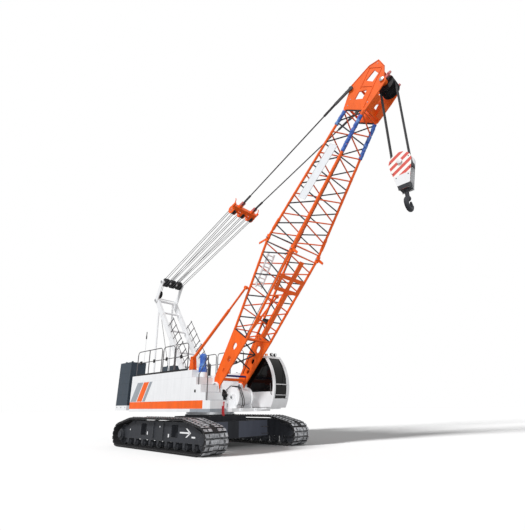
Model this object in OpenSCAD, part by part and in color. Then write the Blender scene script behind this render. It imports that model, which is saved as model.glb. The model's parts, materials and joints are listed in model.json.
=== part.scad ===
// Crawler crane with a basic lattice boom
// Millimetres, +X forward, +Y left, +Z up, origin on the ground under the slewing axis

/* [Tracks] */
// Length of a track over its shoes
track_len = 6300; // [5800:50:6800]
// Height of a track over its shoes
track_h = 1110; // [1040:10:1180]
// Width of a track shoe
shoe_w = 920; // [800:20:1000]
// Distance between the track centre lines
track_gauge = 4380; // [4200:20:4700]
// Number of shoes in a track
shoe_count = 80; // [64:1:80]
// Thickness of a shoe plate
shoe_t = 45; // [35:1:55]
// Height of the pads on a shoe
pad_h = 26; // [15:1:35]
// Bare strip between the two pads of a shoe
pad_split = 230; // [120:10:320]
// Gap between neighbouring shoes
shoe_gap = 42; // [24:1:50]
// Outer radius of the track round an end wheel
end_r = 450; // [420:10:480]
// Distance of the carrier rollers from the middle of the track
carrier_x = 1780; // [1500:20:1900]
// Radius of a carrier roller
carrier_r = 85; // [60:5:110]
// Radius of a lower roller
roller_r = 125; // [100:5:140]
// Number of lower rollers in a track frame
roller_count = 9; // [7:1:10]
// Width of the rollers and end wheels
wheel_w = 360; // [280:10:420]
// Thickness of the side plates of a track frame
frame_plate_t = 45; // [30:5:60]
// Height of a track frame's side plates
frame_h = 650; // [600:10:680]

/* [Carbody] */
// Height of the deck's underside above the ground
deck_z = 1290; // [1260:10:1400]
// Radius of the slewing ring
ring_r = 980; // [850:10:1100]
// Height of the slewing ring
ring_h = 110; // [80:5:140]
// Distance of the cross beams from the middle
beam_x = 1150; // [1000:10:1300]
// Width of a cross beam
beam_w = 620; // [500:10:700]
// Height of a cross beam
beam_h = 620; // [540:10:640]

/* [Upperworks] */
// Thickness of the deck
deck_t = 120; // [90:5:160]
// Half the width over the houses
house_y = 1600; // [1500:10:1700]
// Half the width of the bay between the houses
bay_y = 805; // [800:5:900]
// Rear face of the houses
house_rear = 3980; // [3700:20:4200]
// Height of the houses above the deck
house_h = 1430; // [1200:10:1600]
// Thickness of a house wall
house_wall = 40; // [25:5:60]
// Front of the right house at the deck
house_front = 1960; // [1800:20:2200]
// Depth of one step in front of the right house
step_d = 300; // [240:10:340]
// Height of the coloured skirt
skirt_h = 290; // [200:10:360]
// Front of the deck between the boom feet
deck_front = 2250; // [2100:10:2400]
// Rear face of the counterweight
weight_rear = 5350; // [5200:10:5600]
// Depth of the counterweight
weight_d = 1100; // [950:10:1150]
// Height of the counterweight stacks
weight_h = 1990; // [1600:20:2200]
// Number of slabs in a counterweight stack
slab_count = 4; // [3:1:6]
// Height of the handrails above the house roof
rail_h = 1110; // [1000:10:1200]
// Radius of a handrail tube
rail_r = 17; // [12:1:25]

/* [Cab] */
// Width of the cab
cab_w = 910; // [860:10:1000]
// Rear wall of the cab
cab_rear = 1300; // [1250:10:1400]
// Length of the cab floor
cab_len = 1640; // [1560:10:1760]
// Height of the cab above the deck
cab_h = 2020; // [1900:10:2150]
// Radius of the cab's bowed front
cab_bow = 1700; // [1600:50:2400]
// Thickness of the cab's walls and door
cab_wall = 55; // [40:1:70]
// Thickness of the cab's glass
glass_t = 10; // [6:1:16]

/* [Gantry] */
// Rear offset of the gantry head sheaves
gantry_x = 3770; // [3600:10:3900]
// Height of the gantry head sheaves
gantry_z = 7800; // [7500:20:8000]
// Half the width between the gantry legs
gantry_y = 540; // [530:5:600]
// Rear offset of the gantry's elbow
elbow_x = 4220; // [4100:10:4260]
// Height of the gantry's elbow
elbow_z = 6850; // [6600:20:7000]
// Half the width of a front leg
leg_half = 65; // [50:5:75]
// Half the depth of a front leg
leg_depth = 130; // [100:5:150]
// Radius of the gantry head sheaves
gantry_sheave_r = 230; // [180:5:260]

/* [Boom] */
// Forward offset of the boom foot pin
foot_x = 1190; // [1150:10:1250]
// Height of the boom foot pin
foot_z = 2250; // [2200:10:2400]
// Angle of the boom's lattice above level
boom_angle = 54.6; // [52:0.2:58]
// Half the width between the foot plates
foot_y = 660; // [640:5:680]
// Radius of the boom foot pin
foot_pin_r = 60; // [45:1:75]
// Distance from the foot pin to the section joint
joint_s = 6200; // [6000:20:6500]
// Distance from the foot pin to the boom head plates
head_s = 11800; // [11500:20:12000]
// Half the depth of the boom at the section joint
joint_z = 720; // [640:10:760]
// Half the width of the boom at the section joint
joint_y = 800; // [740:10:830]
// Half the width of the boom at the head
head_y = 460; // [430:5:480]
// Radius of a chord tube
chord_r = 50; // [40:1:60]
// Radius of a lacing tube
lacing_r = 26; // [18:1:32]
// Number of bays in the base section
base_bays = 4; // [3:1:5]
// Number of bays in the top section
top_bays = 6; // [5:1:8]
// Outer radius of the head sheaves
sheave_r = 320; // [290:5:340]
// Depth of a rope groove
groove_d = 40; // [25:1:50]

/* [Rigging] */
// Distance from the gantry head to the bridle
bridle_dist = 5960; // [5800:20:6300]
// Radius of a pendant
pendant_r = 26; // [18:1:32]
// Radius of the hoist rope
rope_r = 14; // [10:1:18]
// Length of the rope falls from the head sheaves to the block sheaves
fall_len = 3340; // [3000:20:3600]
// Length of the hook from its shank to its bowl
hook_len = 690; // [600:10:760]
// Radius of a backstop tube
backstop_r = 62; // [50:1:66]

/* [Fits] */
// Gap between curved faces that meet
fit = 0.3; // [0.2:0.05:0.5]
// Radial running clearance of a pin
pin_fit = 0.05; // [0.02:0.01:0.1]
// Gap at the side of an eye or knuckle
pin_gap = 0.6; // [0.4:0.1:0.9]
// Gap beside moving pieces
side_gap = 8; // [6:1:12]

/* [Hidden] */
$fn = 48;

// Track belt: the inner face of the shoes runs round four circles, each [x, z, radius]
side_y = track_gauge / 2;
belt_r = end_r - shoe_t - pad_h;
end_x = track_len / 2 - end_r;
bend_r = carrier_r + 30;
belt_top = track_h - shoe_t - pad_h;
carrier_z = belt_top - bend_r;
belt = [
    [end_x, end_r, belt_r],
    [carrier_x, carrier_z, bend_r],
    [-carrier_x, carrier_z, bend_r],
    [-end_x, end_r, belt_r]
];
function turn(angle) = angle - 360 * floor(angle / 360);
function tangent_angle(a, b) =
    let (d = [b.x - a.x, b.y - a.y])
    atan2(d.y, d.x) - acos((a.z - b.z) / norm(d));
function into(i) = tangent_angle(belt[(i + 3) % 4], belt[i]);
function out_of(i) = tangent_angle(belt[i], belt[(i + 1) % 4]);
function arc_len(i) = belt[i].z * turn(out_of(i) - into(i)) * PI / 180;
function line_len(i) =
    let (a = belt[i], b = belt[(i + 1) % 4])
    sqrt(pow(norm([b.x - a.x, b.y - a.y]), 2) - pow(a.z - b.z, 2));
function on_circle(c, angle) = [c.x + c.z * cos(angle), c.y + c.z * sin(angle)];
belt_len = arc_len(0) + line_len(0) + arc_len(1) + line_len(1)
    + arc_len(2) + line_len(2) + arc_len(3) + line_len(3);
function belt_point(s, i = 0) =
    s <= arc_len(i) ? on_circle(belt[i], into(i) + s / belt[i].z * 180 / PI)
    : s <= arc_len(i) + line_len(i) || i == 3
        ? let (share = (s - arc_len(i)) / line_len(i))
            on_circle(belt[i], out_of(i)) * (1 - share)
            + on_circle(belt[(i + 1) % 4], out_of(i)) * share
        : belt_point(s - arc_len(i) - line_len(i), i + 1);
belt_points = [for (i = [0 : shoe_count - 1]) belt_point(belt_len * i / shoe_count)];
function shoe_outline(height) = [
    for (i = [0 : shoe_count - 1])
        let (
            a = belt_points[i],
            b = belt_points[(i + 1) % shoe_count],
            along = (b - a) / norm(b - a),
            out = [along.y, -along.x],
            low = shoe_t / 2
        )
        each [
            a + along * shoe_gap / 2 + out * low,
            a + along * shoe_gap / 2 + out * height,
            b - along * shoe_gap / 2 + out * height,
            b - along * shoe_gap / 2 + out * low
        ]
];
shoe_pitch = belt_len / shoe_count;
end_wheel_r = sqrt(pow(belt_r, 2) - pow(shoe_pitch / 2, 2)) - fit;
roller_z = shoe_t + pad_h + roller_r + fit;
frame_z = roller_z + roller_r + 12;
frame_gap = wheel_w / 2 + fit;
roller_span = 2 * (end_x - end_wheel_r - roller_r - side_gap);
function roller_x(i) = roller_span * (i / (roller_count - 1) - 0.5);

// Upperworks levels
deck_top = deck_z + deck_t;
roof_z = deck_top + house_h;
step_count = 4;
stair_rear = house_front - step_count * step_d;
weight_front = weight_rear - weight_d;
tray_h = 150;

// Boom lines in the boom's own frame: X along the lattice axis, Z away from the ground
plate_t = 60;
plate_s = 2300;
hub_half = plate_t / 2 + 15;
foot_half = 250;
function base_z(s) = foot_half + (joint_z - foot_half) * s / joint_s;
base_rise_y = (joint_y - foot_y) / (joint_s - plate_s);
function base_y(s) = foot_y + base_rise_y * (s - plate_s);
function base_chord(s, upper, left) = [s, left * base_y(s), upper * base_z(s)];
head_top_z = 90;
head_low_z = -760;
function top_share(s) = (s - joint_s) / (head_s - joint_s);
function top_z(s, upper) =
    let (end = upper > 0 ? head_top_z : head_low_z)
    upper * joint_z * (1 - top_share(s)) + end * top_share(s);
function top_y(s) = joint_y + (head_y - joint_y) * top_share(s);
function top_chord(s, upper, left) = [s, left * top_y(s), top_z(s, upper)];
foot = [foot_x, 0, foot_z];
function boom_point(p) = foot + [
    p.x * cos(boom_angle) - p.z * sin(boom_angle),
    p.y,
    p.x * sin(boom_angle) + p.z * cos(boom_angle)
];
joint_half = 130;
sheave_at = [head_s + 1150, 0, -980];
pendant_at = [head_s + 810, 0, 230];
sheave_world = boom_point(sheave_at);
pendant_world = boom_point(pendant_at);
stay_y = 540;

// Luffing line from the gantry head to the pendant pin
gantry_head_at = [-gantry_x, 0, gantry_z];
stay = pendant_world - gantry_head_at;
stay_len = norm(stay);
stay_angle = atan2(stay.z, stay.x);

// Backstops
stop_foot = [-130, 930, roof_z + 560];
stop_s = 4030;
stop_eye = boom_point([stop_s, 0, base_z(stop_s)]) + [0, stop_foot.y, 0];
stop_line = stop_eye - stop_foot;
stop_len = norm(stop_line);
stop_angle = atan2(stop_line.z, stop_line.x);

// Hook block
pitch_r = sheave_r - groove_d + rope_r + fit;
block_at = sheave_world - [0, 0, fall_len];
reeving = [-1.5, -0.5, 0.5, 1.5];
sheave_half = rope_r + 11;
sheave_step = 2 * sheave_half + 6;
cheek_y = reeving[3] * sheave_step + sheave_half + 21;
cheek_r = sheave_r + 65;
spare_y = 230;

// Cab
cab_y0 = bay_y;
cab_y1 = bay_y + cab_w;
cab_front = cab_rear + cab_len;
cab_top = deck_top + cab_h;

// Helpers
module block(low, high) { translate(low) cube(high - low); }
module both_sides() {
    children();
    mirror([0, 1, 0]) children();
}
module slab(y0, y1) { translate([0, y1, 0]) rotate([90, 0, 0]) linear_extrude(y1 - y0) children(); }
module rod(a, b, r) {
    d = b - a;
    translate(a) rotate([0, acos(d.z / norm(d)), atan2(d.y, d.x)]) cylinder(h = norm(d), r = r);
}
module axle(at, y0, y1, r) { translate([at.x, y0, at.z]) rotate([-90, 0, 0]) cylinder(h = y1 - y0, r = r); }
module on_boom() { translate(foot) rotate([0, -boom_angle, 0]) children(); }
module on_stay() { translate(gantry_head_at) rotate([0, -stay_angle, 0]) children(); }
module slot(from, to, r) {
    d = to - from;
    translate(from) circle(r);
    translate(to) circle(r);
    translate(from) rotate(atan2(d.y, d.x)) translate([0, -r]) square([norm(d), 2 * r]);
}
module sheave(at, y0, y1, r, bore) {
    middle = (y0 + y1) / 2;
    half = (y1 - y0) / 2;
    lip = 8;
    floor_half = rope_r + 2;
    translate([at.x, middle, at.z]) rotate([-90, 0, 0]) rotate_extrude() polygon([
        [bore, -half], [r, -half], [r, lip - half], [r - groove_d, -floor_half],
        [r - groove_d, floor_half], [r, half - lip], [r, half], [bore, half]
    ]);
}

// Undercarriage
module carbody() {
    reach = side_y - frame_gap - frame_plate_t;
    pedestal_z = deck_z - ring_h;
    beam_z = frame_z + frame_h - 40 - beam_h;
    color("dimgray") difference() {
        union() {
            for (x = [-beam_x, beam_x])
                block([x - beam_w / 2, -reach, beam_z], [x + beam_w / 2, reach, beam_z + beam_h]);
            block([-beam_x, -ring_r, beam_z], [beam_x, ring_r, pedestal_z - 60]);
            translate([0, 0, pedestal_z - 60]) cylinder(h = 60, r = ring_r + 60);
        }
        translate([0, 0, beam_z - 1]) cylinder(h = pedestal_z - beam_z + 2, r = ring_r * 0.4);
    }
}
module slew_ring() {
    color("silver") difference() {
        translate([0, 0, deck_z - ring_h]) cylinder(h = ring_h, r = ring_r);
        translate([0, 0, deck_z - ring_h - 1]) cylinder(h = ring_h + 2, r = ring_r * 0.8);
    }
}
// Side plate of a track frame, with a bracket beside each lower roller
module frame_outline() {
    top = frame_z + frame_h;
    nose = end_x + end_wheel_r * 0.55;
    bracket = roller_r * 0.55;
    right = [
        [end_x, frame_z], [nose, end_r], [end_x, end_r + end_wheel_r / 2], [carrier_x + carrier_r, top]
    ];
    polygon([
        for (i = [0 : roller_count - 1])
            each [
                [roller_x(i) - bracket, frame_z], [roller_x(i) - bracket * 0.8, roller_z - bracket],
                [roller_x(i) + bracket * 0.8, roller_z - bracket], [roller_x(i) + bracket, frame_z]
            ],
        each right,
        for (i = [3 : -1 : 0]) [-right[i].x, right[i].y]
    ]);
}
module track_frame() {
    beam_end = end_x - end_wheel_r - 60;
    top = frame_z + frame_h;
    face = -frame_gap - frame_plate_t;
    pocket = [410, 200, 420];
    pocket_x = 1060;
    rib = [60, 40];
    rib_x = 330;
    motor_len = 260;
    cap = [[0, 90, 0.56], [90, 150, 0.36]];
    difference() {
        union() {
            for (y = [face, frame_gap])
                slab(y, y + frame_plate_t) frame_outline();
            slab(-frame_gap, frame_gap) intersection() {
                frame_outline();
                translate([-beam_end, frame_z + 28]) square([2 * beam_end, frame_h]);
            }
            for (side = [-1, 1]) {
                block([side * rib_x - rib.x / 2, face - rib.y, frame_z + 60],
                      [side * rib_x + rib.x / 2, face + 5, top - 50]);
                for (step = cap)
                    axle([side * end_x, 0, end_r], face - step[1] * (side < 0 ? 1 : 0.5),
                        face - step[0] / 2 + 5, end_wheel_r * step[2]);
            }
            axle([-end_x, 0, end_r], -face - 5, -face + motor_len, end_wheel_r * 0.5);
        }
        for (x = [-pocket_x, pocket_x])
            translate([x - pocket.x / 2, face - 1, frame_z + 140]) cube(pocket);
        for (x = [-carrier_x, carrier_x])
            block([x - carrier_r - 60, -frame_gap, carrier_z - carrier_r - 30],
                  [x + carrier_r + 60, frame_gap, track_h]);
    }
}
module track_frame_left() { color("black") translate([0, side_y, 0]) mirror([0, 1, 0]) track_frame(); }
module track_frame_right() { color("black") translate([0, -side_y, 0]) track_frame(); }
module track_loop() {
    module band(y0, y1, height) {
        slab(y0, y1) difference() {
            polygon(shoe_outline(height));
            polygon(belt_points);
        }
    }
    band(-shoe_w / 2, -pad_split / 2, shoe_t + pad_h);
    band(-pad_split / 2, pad_split / 2, shoe_t);
    band(pad_split / 2, shoe_w / 2, shoe_t + pad_h);
}
module track_left() { color("gray") translate([0, side_y, 0]) track_loop(); }
module track_right() { color("gray") translate([0, -side_y, 0]) track_loop(); }
module end_wheel(x) {
    axle([x, 0, end_r], -wheel_w / 2, wheel_w / 2, end_wheel_r * 0.4);
    for (y = [-wheel_w / 2 + 30, wheel_w / 2 - 120])
        axle([x, 0, end_r], y, y + 90, end_wheel_r);
}
module drive_sprockets() {
    color("darkslategray") both_sides() translate([0, side_y, 0]) end_wheel(-end_x);
}
module idlers() {
    color("darkslategray") both_sides() translate([0, side_y, 0]) end_wheel(end_x);
}
module lower_rollers() {
    color("darkslategray") both_sides() translate([0, side_y, 0])
        for (i = [0 : roller_count - 1]) {
            x = roller_x(i);
            axle([x, 0, roller_z], -wheel_w / 2, wheel_w / 2, roller_r * 0.7);
            for (y = [-wheel_w / 2 + 20, wheel_w / 2 - 110])
                axle([x, 0, roller_z], y, y + 90, roller_r);
        }
}
module carrier_rollers() {
    color("darkslategray") both_sides() translate([0, side_y, 0])
        for (x = [-carrier_x, carrier_x])
            axle([x, 0, carrier_z], -wheel_w / 2, wheel_w / 2, carrier_r);
}

// Deck, houses and counterweight
module deck() {
    lug_w = 300;
    lug_t = 60;
    color("gainsboro") difference() {
        union() {
            block([-house_rear, -house_y, deck_z], [house_front, house_y, deck_top]);
            block([0, -bay_y, deck_z], [deck_front, bay_y, deck_top]);
            block([-weight_rear + 150, -bay_y, deck_z], [0, bay_y, deck_top]);
            block([cab_rear, cab_y0, deck_top - 50], [cab_front - 450, cab_y1 - 60, deck_top]);
            both_sides() for (y = [foot_y - hub_half - side_gap - lug_t, foot_y + hub_half + side_gap])
                slab(y, y + lug_t) polygon([
                    [foot_x - 2 * lug_w, deck_top - 1], [foot_x + lug_w, deck_top - 1],
                    [foot_x + lug_w / 2, foot_z + 60], [foot_x + 40, foot_z + 140],
                    [foot_x - 40, foot_z + 140], [foot_x - lug_w / 2, foot_z + 60]
                ]);
        }
        axle(foot, -house_y, house_y, foot_pin_r);
    }
}
module foot_pins() {
    reach = hub_half + side_gap + 60;
    color("silver") both_sides() axle(foot, foot_y - reach, foot_y + reach, foot_pin_r);
}
module counterweight_tray() {
    color("white") {
        block([-weight_rear, -house_y, deck_top], [-weight_front, house_y, deck_top + tray_h]);
        both_sides() block([-weight_rear, bay_y + fit, deck_top - 60], [-weight_front, house_y, deck_top]);
    }
}
module counterweight_blocks() {
    base = deck_top + tray_h;
    slab_h = weight_h / slab_count;
    color("darkslategray") {
        block([-weight_rear, -bay_y, base], [-weight_front, bay_y, base + weight_h * 0.62]);
        both_sides() for (i = [0 : slab_count - 1])
            block([-weight_rear, bay_y + side_gap, base + i * slab_h],
                  [-weight_front, house_y, base + (i + 1) * slab_h]);
        both_sides() for (x = [-weight_rear + 250, -weight_front - 250], y = [bay_y + 180, house_y - 180])
            translate([x, y, base + weight_h - 5]) cylinder(h = 75, r = 45);
    }
}
module stair_outline(grow) {
    rise = house_h * 0.8 / step_count;
    polygon([
        [-house_rear - grow, deck_top], [house_front + grow, deck_top],
        for (i = [0 : step_count - 1])
            each [
                [house_front + grow - i * step_d, roof_z + grow - (step_count - i) * rise],
                [house_front + grow - (i + 1) * step_d, roof_z + grow - (step_count - i) * rise]
            ],
        [stair_rear + grow, roof_z + grow], [-house_rear - grow, roof_z + grow]
    ]);
}
module skirt(front) {
    block([-house_rear, house_y - house_wall, deck_top], [front, house_y, deck_top + skirt_h]);
}
skirt_front = house_front - 450;
left_front = cab_rear - 150;
module skirts() {
    color("darkorange") {
        mirror([0, 1, 0]) skirt(skirt_front);
        skirt(left_front);
    }
}
module house_right() {
    color("white") difference() {
        slab(-house_y, -bay_y) stair_outline(0);
        slab(-house_y + house_wall, -bay_y - house_wall) stair_outline(-house_wall);
        mirror([0, 1, 0]) skirt(skirt_front);
    }
}
module house_left() {
    blade_h = 34;
    blade_out = 24;
    color("white") difference() {
        union() {
            block([-house_rear, bay_y, deck_top], [left_front, house_y, roof_z]);
            for (x = [-3300, -2150, -1000], i = [0 : 8])
                block([x, house_y - 5, deck_top + 480 + i * 90],
                      [x + 760, house_y + blade_out, deck_top + 480 + i * 90 + blade_h]);
            for (i = [0 : 8])
                block([-house_rear - blade_out, bay_y + 120, deck_top + 480 + i * 90],
                      [-house_rear + 5, house_y - 120, deck_top + 480 + i * 90 + blade_h]);
        }
        block([-house_rear + house_wall, bay_y + house_wall, deck_top - 1],
              [left_front - house_wall, house_y - house_wall, roof_z - house_wall]);
        skirt(left_front);
    }
}
module engine_block() {
    low = [-house_rear * 0.65, bay_y + house_wall + 60, deck_top];
    high = [-house_rear * 0.22, house_y - house_wall - 60, deck_top + house_h * 0.7];
    color("dimgray") block(low, high);
}
// Rail panel with rounded corners, standing on the roof
module rail_panel(x0, x1, inner) {
    top = roof_z + rail_h;
    lap = 6;
    for (x = [x0, x1])
        rod([x, 0, roof_z], [x, 0, top - rail_bend + lap], post_r);
    for (x = inner)
        rod([x, 0, roof_z], [x, 0, top + post_r], post_r);
    rod([x0 + rail_bend - lap, 0, top], [x1 - rail_bend + lap, 0, top], post_r * 0.97);
    rod([x0, 0, roof_z + rail_h * 0.53], [x1, 0, roof_z + rail_h * 0.53], rail_r);
    for (bend = [[x0 + rail_bend, 90], [x1 - rail_bend, 0]])
        translate([bend.x, 0, top - rail_bend]) rotate([90, 0, 0]) rotate([0, 0, bend.y])
            rotate_extrude(angle = 90) translate([rail_bend, 0]) circle(rail_r);
}
// Panels along a roof, each [rear post, front post, posts between]
rail_panels = [[-3720, -1610, [-2680]], [-1500, -620, []], [-540, 360, []]];
rail_bend = 150;
rail_y = house_y - 50;
post_r = rail_r * 1.25;
module handrail_right() {
    grab_x = house_front - 270;
    grab_z = deck_top + house_h * 0.2;
    grab_h = 1600;
    brace_x = grab_x - 2 * step_d + 60;
    brace_z = grab_z + house_h * 0.4;
    color("dimgray") translate([0, -rail_y, 0]) {
        for (panel = rail_panels)
            rail_panel(panel[0], panel[1], panel[2]);
        rod([grab_x, 0, grab_z], [grab_x, 0, grab_z + grab_h], post_r);
        rod([brace_x, 0, brace_z], [brace_x, 0, brace_z + 400], post_r);
        rod([brace_x, 0, brace_z + 375], [grab_x, 0, grab_z + grab_h - 30], rail_r);
    }
}
module handrail_left() {
    color("dimgray") translate([0, rail_y, 0])
        for (panel = rail_panels)
            rail_panel(panel[0], panel[1], panel[2]);
}
module covered_tank() {
    tank_h = 900;
    tread = roof_z - house_h * 0.2;
    color("steelblue") translate([stair_rear + step_d / 2, -1200, tread]) rotate_extrude() polygon([
        [0, 0], [138, 0], [146, tank_h * 0.35], [122, tank_h * 0.6], [132, tank_h * 0.82],
        [96, tank_h], [0, tank_h]
    ]);
}
module tie_down_lugs() {
    color("firebrick") both_sides() difference() {
        slab(360, 410) polygon([
            [deck_front, deck_z + 10], [deck_front + 150, deck_z + 10],
            [deck_front + 150, deck_top], [deck_front, deck_top]
        ]);
        axle([deck_front + 85, 0, deck_z + 65], 300, 500, 35);
    }
}

// Winches
hoist_at = [-1050, 0, deck_top + 520];
luff_at = [-2350, 0, deck_top + 520];
front_at = [1800, 0, deck_top + 400];
drum_half = 380;
module drum(at) {
    axle(at, -drum_half, drum_half, 250);
    for (y = [-drum_half, drum_half - 30])
        axle(at, y, y + 30, 380);
    axle(at, -drum_half - 60, drum_half + 60, 60);
}
module hoist_drum() { color("dimgray") drum(hoist_at); }
module luff_drum() { color("dimgray") drum(luff_at); }
module front_drum() { color("whitesmoke") drum(front_at); }
module winch_stands() {
    inner = drum_half + side_gap;
    color("gainsboro") for (at = [hoist_at, luff_at, front_at]) difference() {
        both_sides() slab(inner, inner + 50) polygon([
            [at.x - 260, deck_top], [at.x + 260, deck_top],
            [at.x + 120, at.z + 120], [at.x - 120, at.z + 120]
        ]);
        axle(at, -house_y, house_y, 60 + pin_fit);
    }
}

// Cab
cab_bow_z = deck_top + 860;
module cab_bowed(rear, low, high, inset) {
    intersection() {
        translate([rear, low]) square([2 * cab_len, high - low]);
        translate([cab_front - cab_bow, cab_bow_z]) circle(cab_bow - inset, $fn = 96);
    }
}
module cab_outline(inset) { cab_bowed(cab_rear + inset, deck_top + inset, cab_top - inset, inset); }
door_x0 = cab_rear + 120;
door_x1 = cab_rear + 1000;
door_z0 = deck_top + 120;
door_z1 = cab_top - 140;
sill_z = deck_top + 620;
module side_glass_outline(inset) {
    cab_bowed(cab_rear + 90 + inset, sill_z + inset, cab_top - 90 - inset, 105 + inset);
}
front_low = deck_top + 350;
front_high = cab_top - 110;
front_x = cab_front - 520;
pillar = 85;
side_x0 = door_x1 + 80;
side_x1 = cab_front - 300;
side_top = deck_top + cab_h * 0.8;
module door_window_outline(inset) {
    translate([door_x0 + 70 + inset, door_z0 + 480 + inset])
        square([door_x1 - door_x0 - 140 - 2 * inset, door_z1 - door_z0 - 550 - 2 * inset]);
}
hinge_at = [door_x0, cab_y1 + 20];
hinge_r = 16;
knuckle_h = 60;
hinge_levels = [door_z0 + 220, door_z1 - 280];
module knuckle(z, leaf_x0, leaf_x1) {
    translate([hinge_at.x, hinge_at.y, z]) cylinder(h = knuckle_h, r = hinge_r);
    block([leaf_x0, cab_y1 - 2, z], [leaf_x1, cab_y1 + 10, z + knuckle_h]);
}
module cab_shell() {
    lamp_x = cab_front - 520;
    color("white") for (z = hinge_levels) knuckle(z - knuckle_h - pin_gap, door_x0 - 80, door_x0 - 4);
    color("white") difference() {
        union() {
            slab(cab_y0, cab_y1) cab_outline(0);
            translate([lamp_x - 80, cab_y0 + 190, cab_top - 5]) cylinder(h = 105, r = 60);
            for (y = [cab_y0 + 420, cab_y0 + 650]) {
                block([lamp_x - 30, y - 15, cab_top - 5], [lamp_x + 10, y + 15, cab_top + 40]);
                translate([lamp_x - 40, y, cab_top + 85]) rotate([0, 90, 0]) cylinder(h = 90, r = 62);
            }
        }
        slab(cab_y0 + cab_wall, cab_y1 - cab_wall) cab_outline(cab_wall);
        slab(cab_y0 - 1, cab_y0 + cab_wall + 1) side_glass_outline(0);
        block([front_x, cab_y0 + pillar, front_low], [cab_front + 1, cab_y1 - pillar, front_high]);
        block([door_x0, cab_y1 - cab_wall - 1, door_z0], [door_x1, cab_y1 + 1, door_z1]);
        block([side_x0, cab_y1 - cab_wall - 1, sill_z], [side_x1, cab_y1 + 1, side_top]);
    }
}
module cab_glass() {
    color("black") {
        slab(cab_y0 + 10, cab_y0 + 10 + glass_t) side_glass_outline(fit);
        intersection() {
            slab(cab_y0 + pillar + fit, cab_y1 - pillar - fit) difference() {
                cab_outline(10);
                cab_outline(10 + glass_t);
            }
            block([front_x + fit, cab_y0, front_low + fit], [cab_front, cab_y1, front_high - fit]);
        }
        slab(cab_y1 - 30, cab_y1 - 30 + glass_t)
            translate([side_x0 + fit, sill_z + fit])
                square([side_x1 - side_x0 - 2 * fit, side_top - sill_z - 2 * fit]);
    }
}
module cab_door() {
    gap = 6;
    color("white") difference() {
        block([door_x0 + gap, cab_y1 - cab_wall + gap, door_z0 + gap],
              [door_x1 - gap, cab_y1, door_z1 - gap]);
        slab(cab_y1 - cab_wall - 1, cab_y1 + 1) door_window_outline(0);
    }
    color("white") for (z = hinge_levels) knuckle(z, door_x0 + gap, door_x0 + 90);
}
module door_glass() { color("black") slab(cab_y1 - 30, cab_y1 - 30 + glass_t) door_window_outline(fit); }
module cab_seat() {
    seat_x = cab_rear + 330;
    middle = (cab_y0 + cab_y1) / 2;
    color("black") {
        block([seat_x + 60, middle - 150, deck_top + cab_wall],
              [seat_x + 360, middle + 150, deck_top + 450]);
        block([seat_x, middle - 250, deck_top + 450], [seat_x + 500, middle + 250, deck_top + 570]);
        block([seat_x - 100, middle - 250, deck_top + 500], [seat_x + 20, middle + 250, deck_top + 1200]);
    }
}
module cab_console() {
    color("dimgray") block([cab_front - 600, cab_y0 + cab_wall + 60, deck_top + cab_wall],
                           [cab_front - 360, cab_y0 + cab_wall + 360, deck_top + 850]);
}

// Gantry
leg_foot = [-340, gantry_y, deck_top + 150];
elbow = [-elbow_x, gantry_y, elbow_z];
link_r = 45;
link_y = gantry_y - leg_half - link_r - side_gap;
link_foot = [-house_rear - 90, link_y, deck_top + 150];
leg_line = elbow - leg_foot;
leg_len = norm(leg_line);
leg_along = leg_line / leg_len;
leg_out = [leg_along.z, 0, -leg_along.x];
function on_leg(share, off) = leg_foot + leg_line * share + leg_out * off;
elbow_r = 60;
module gantry_legs() {
    cross_share = [0.2, 0.44, 0.66, 0.86];
    plate = 30;
    tip = leg_len - elbow_r - fit;
    color("white") {
        both_sides() {
            translate(leg_foot) rotate([0, -atan2(leg_line.z, leg_line.x), 0])
                block([-90, -leg_half, -leg_depth], [tip, leg_half, leg_depth]);
            for (y = [gantry_y - leg_half - fit - plate, gantry_y + leg_half + fit])
                slab(y, y + plate) polygon([
                    [leg_foot.x - 260, deck_top], [leg_foot.x + 260, deck_top],
                    [leg_foot.x + 90, leg_foot.z + 170], [leg_foot.x - 150, leg_foot.z + 170]
                ]);
        }
        for (share = cross_share) {
            at = leg_foot + leg_line * share;
            rod([at.x, -gantry_y, at.z], [at.x, gantry_y, at.z], leg_half * 0.75);
        }
    }
}
module gantry_links() {
    color("white") both_sides() {
        rod(link_foot, [elbow.x, link_y, elbow.z - 61], link_r);
        block([link_foot.x - 90, link_y - 60, deck_top], [link_foot.x + 90, link_y + 60, deck_top + 160]);
    }
}
module gantry_head() {
    plate = 40;
    outer = gantry_y + leg_half + fit;
    elbow_at = [-elbow_x, 0, elbow_z];
    guide_at = elbow_at + [80, 0, 330];
    color("white") {
        both_sides() slab(outer, outer + plate)
            slot([-elbow_x, elbow_z], [-gantry_x, gantry_z], 130);
        axle(gantry_head_at, -outer - plate - 40, outer + plate + 40, elbow_r);
        axle(elbow_at, -outer - plate - 40, outer + plate + 40, elbow_r);
        axle(elbow_at + [-90, 0, 160], -outer - 5, outer + 5, 30);
        axle(guide_at, -outer - 5, -outer + 190, 45);
        sheave(guide_at, -outer + 90, -outer + 170, 200, 30);
    }
}
// Guard rails that stand off the front of each leg
module gantry_ladders() {
    panels = [[0.25, 0.45], [0.49, 0.69]];
    offs = [275, 630];
    tube = 16;
    posts = 4;
    color("dimgray") both_sides() for (panel = panels) {
        reach = panel[1] - panel[0];
        for (off = offs)
            rod(on_leg(panel[0] - 0.012, off), on_leg(panel[1] + 0.012, off), tube);
        for (i = [0 : posts - 1])
            rod(on_leg(panel[0] + reach * i / (posts - 1), leg_depth + fit),
                on_leg(panel[0] + reach * i / (posts - 1), offs[1] + 2 * tube), tube * 1.25);
    }
}
module gantry_sheaves() {
    width = 90;
    color("black") for (y = [-500, -380, -105, 15, 290, 410])
        sheave(gantry_head_at, y, y + width, gantry_sheave_r, 60 + pin_fit);
}

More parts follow.
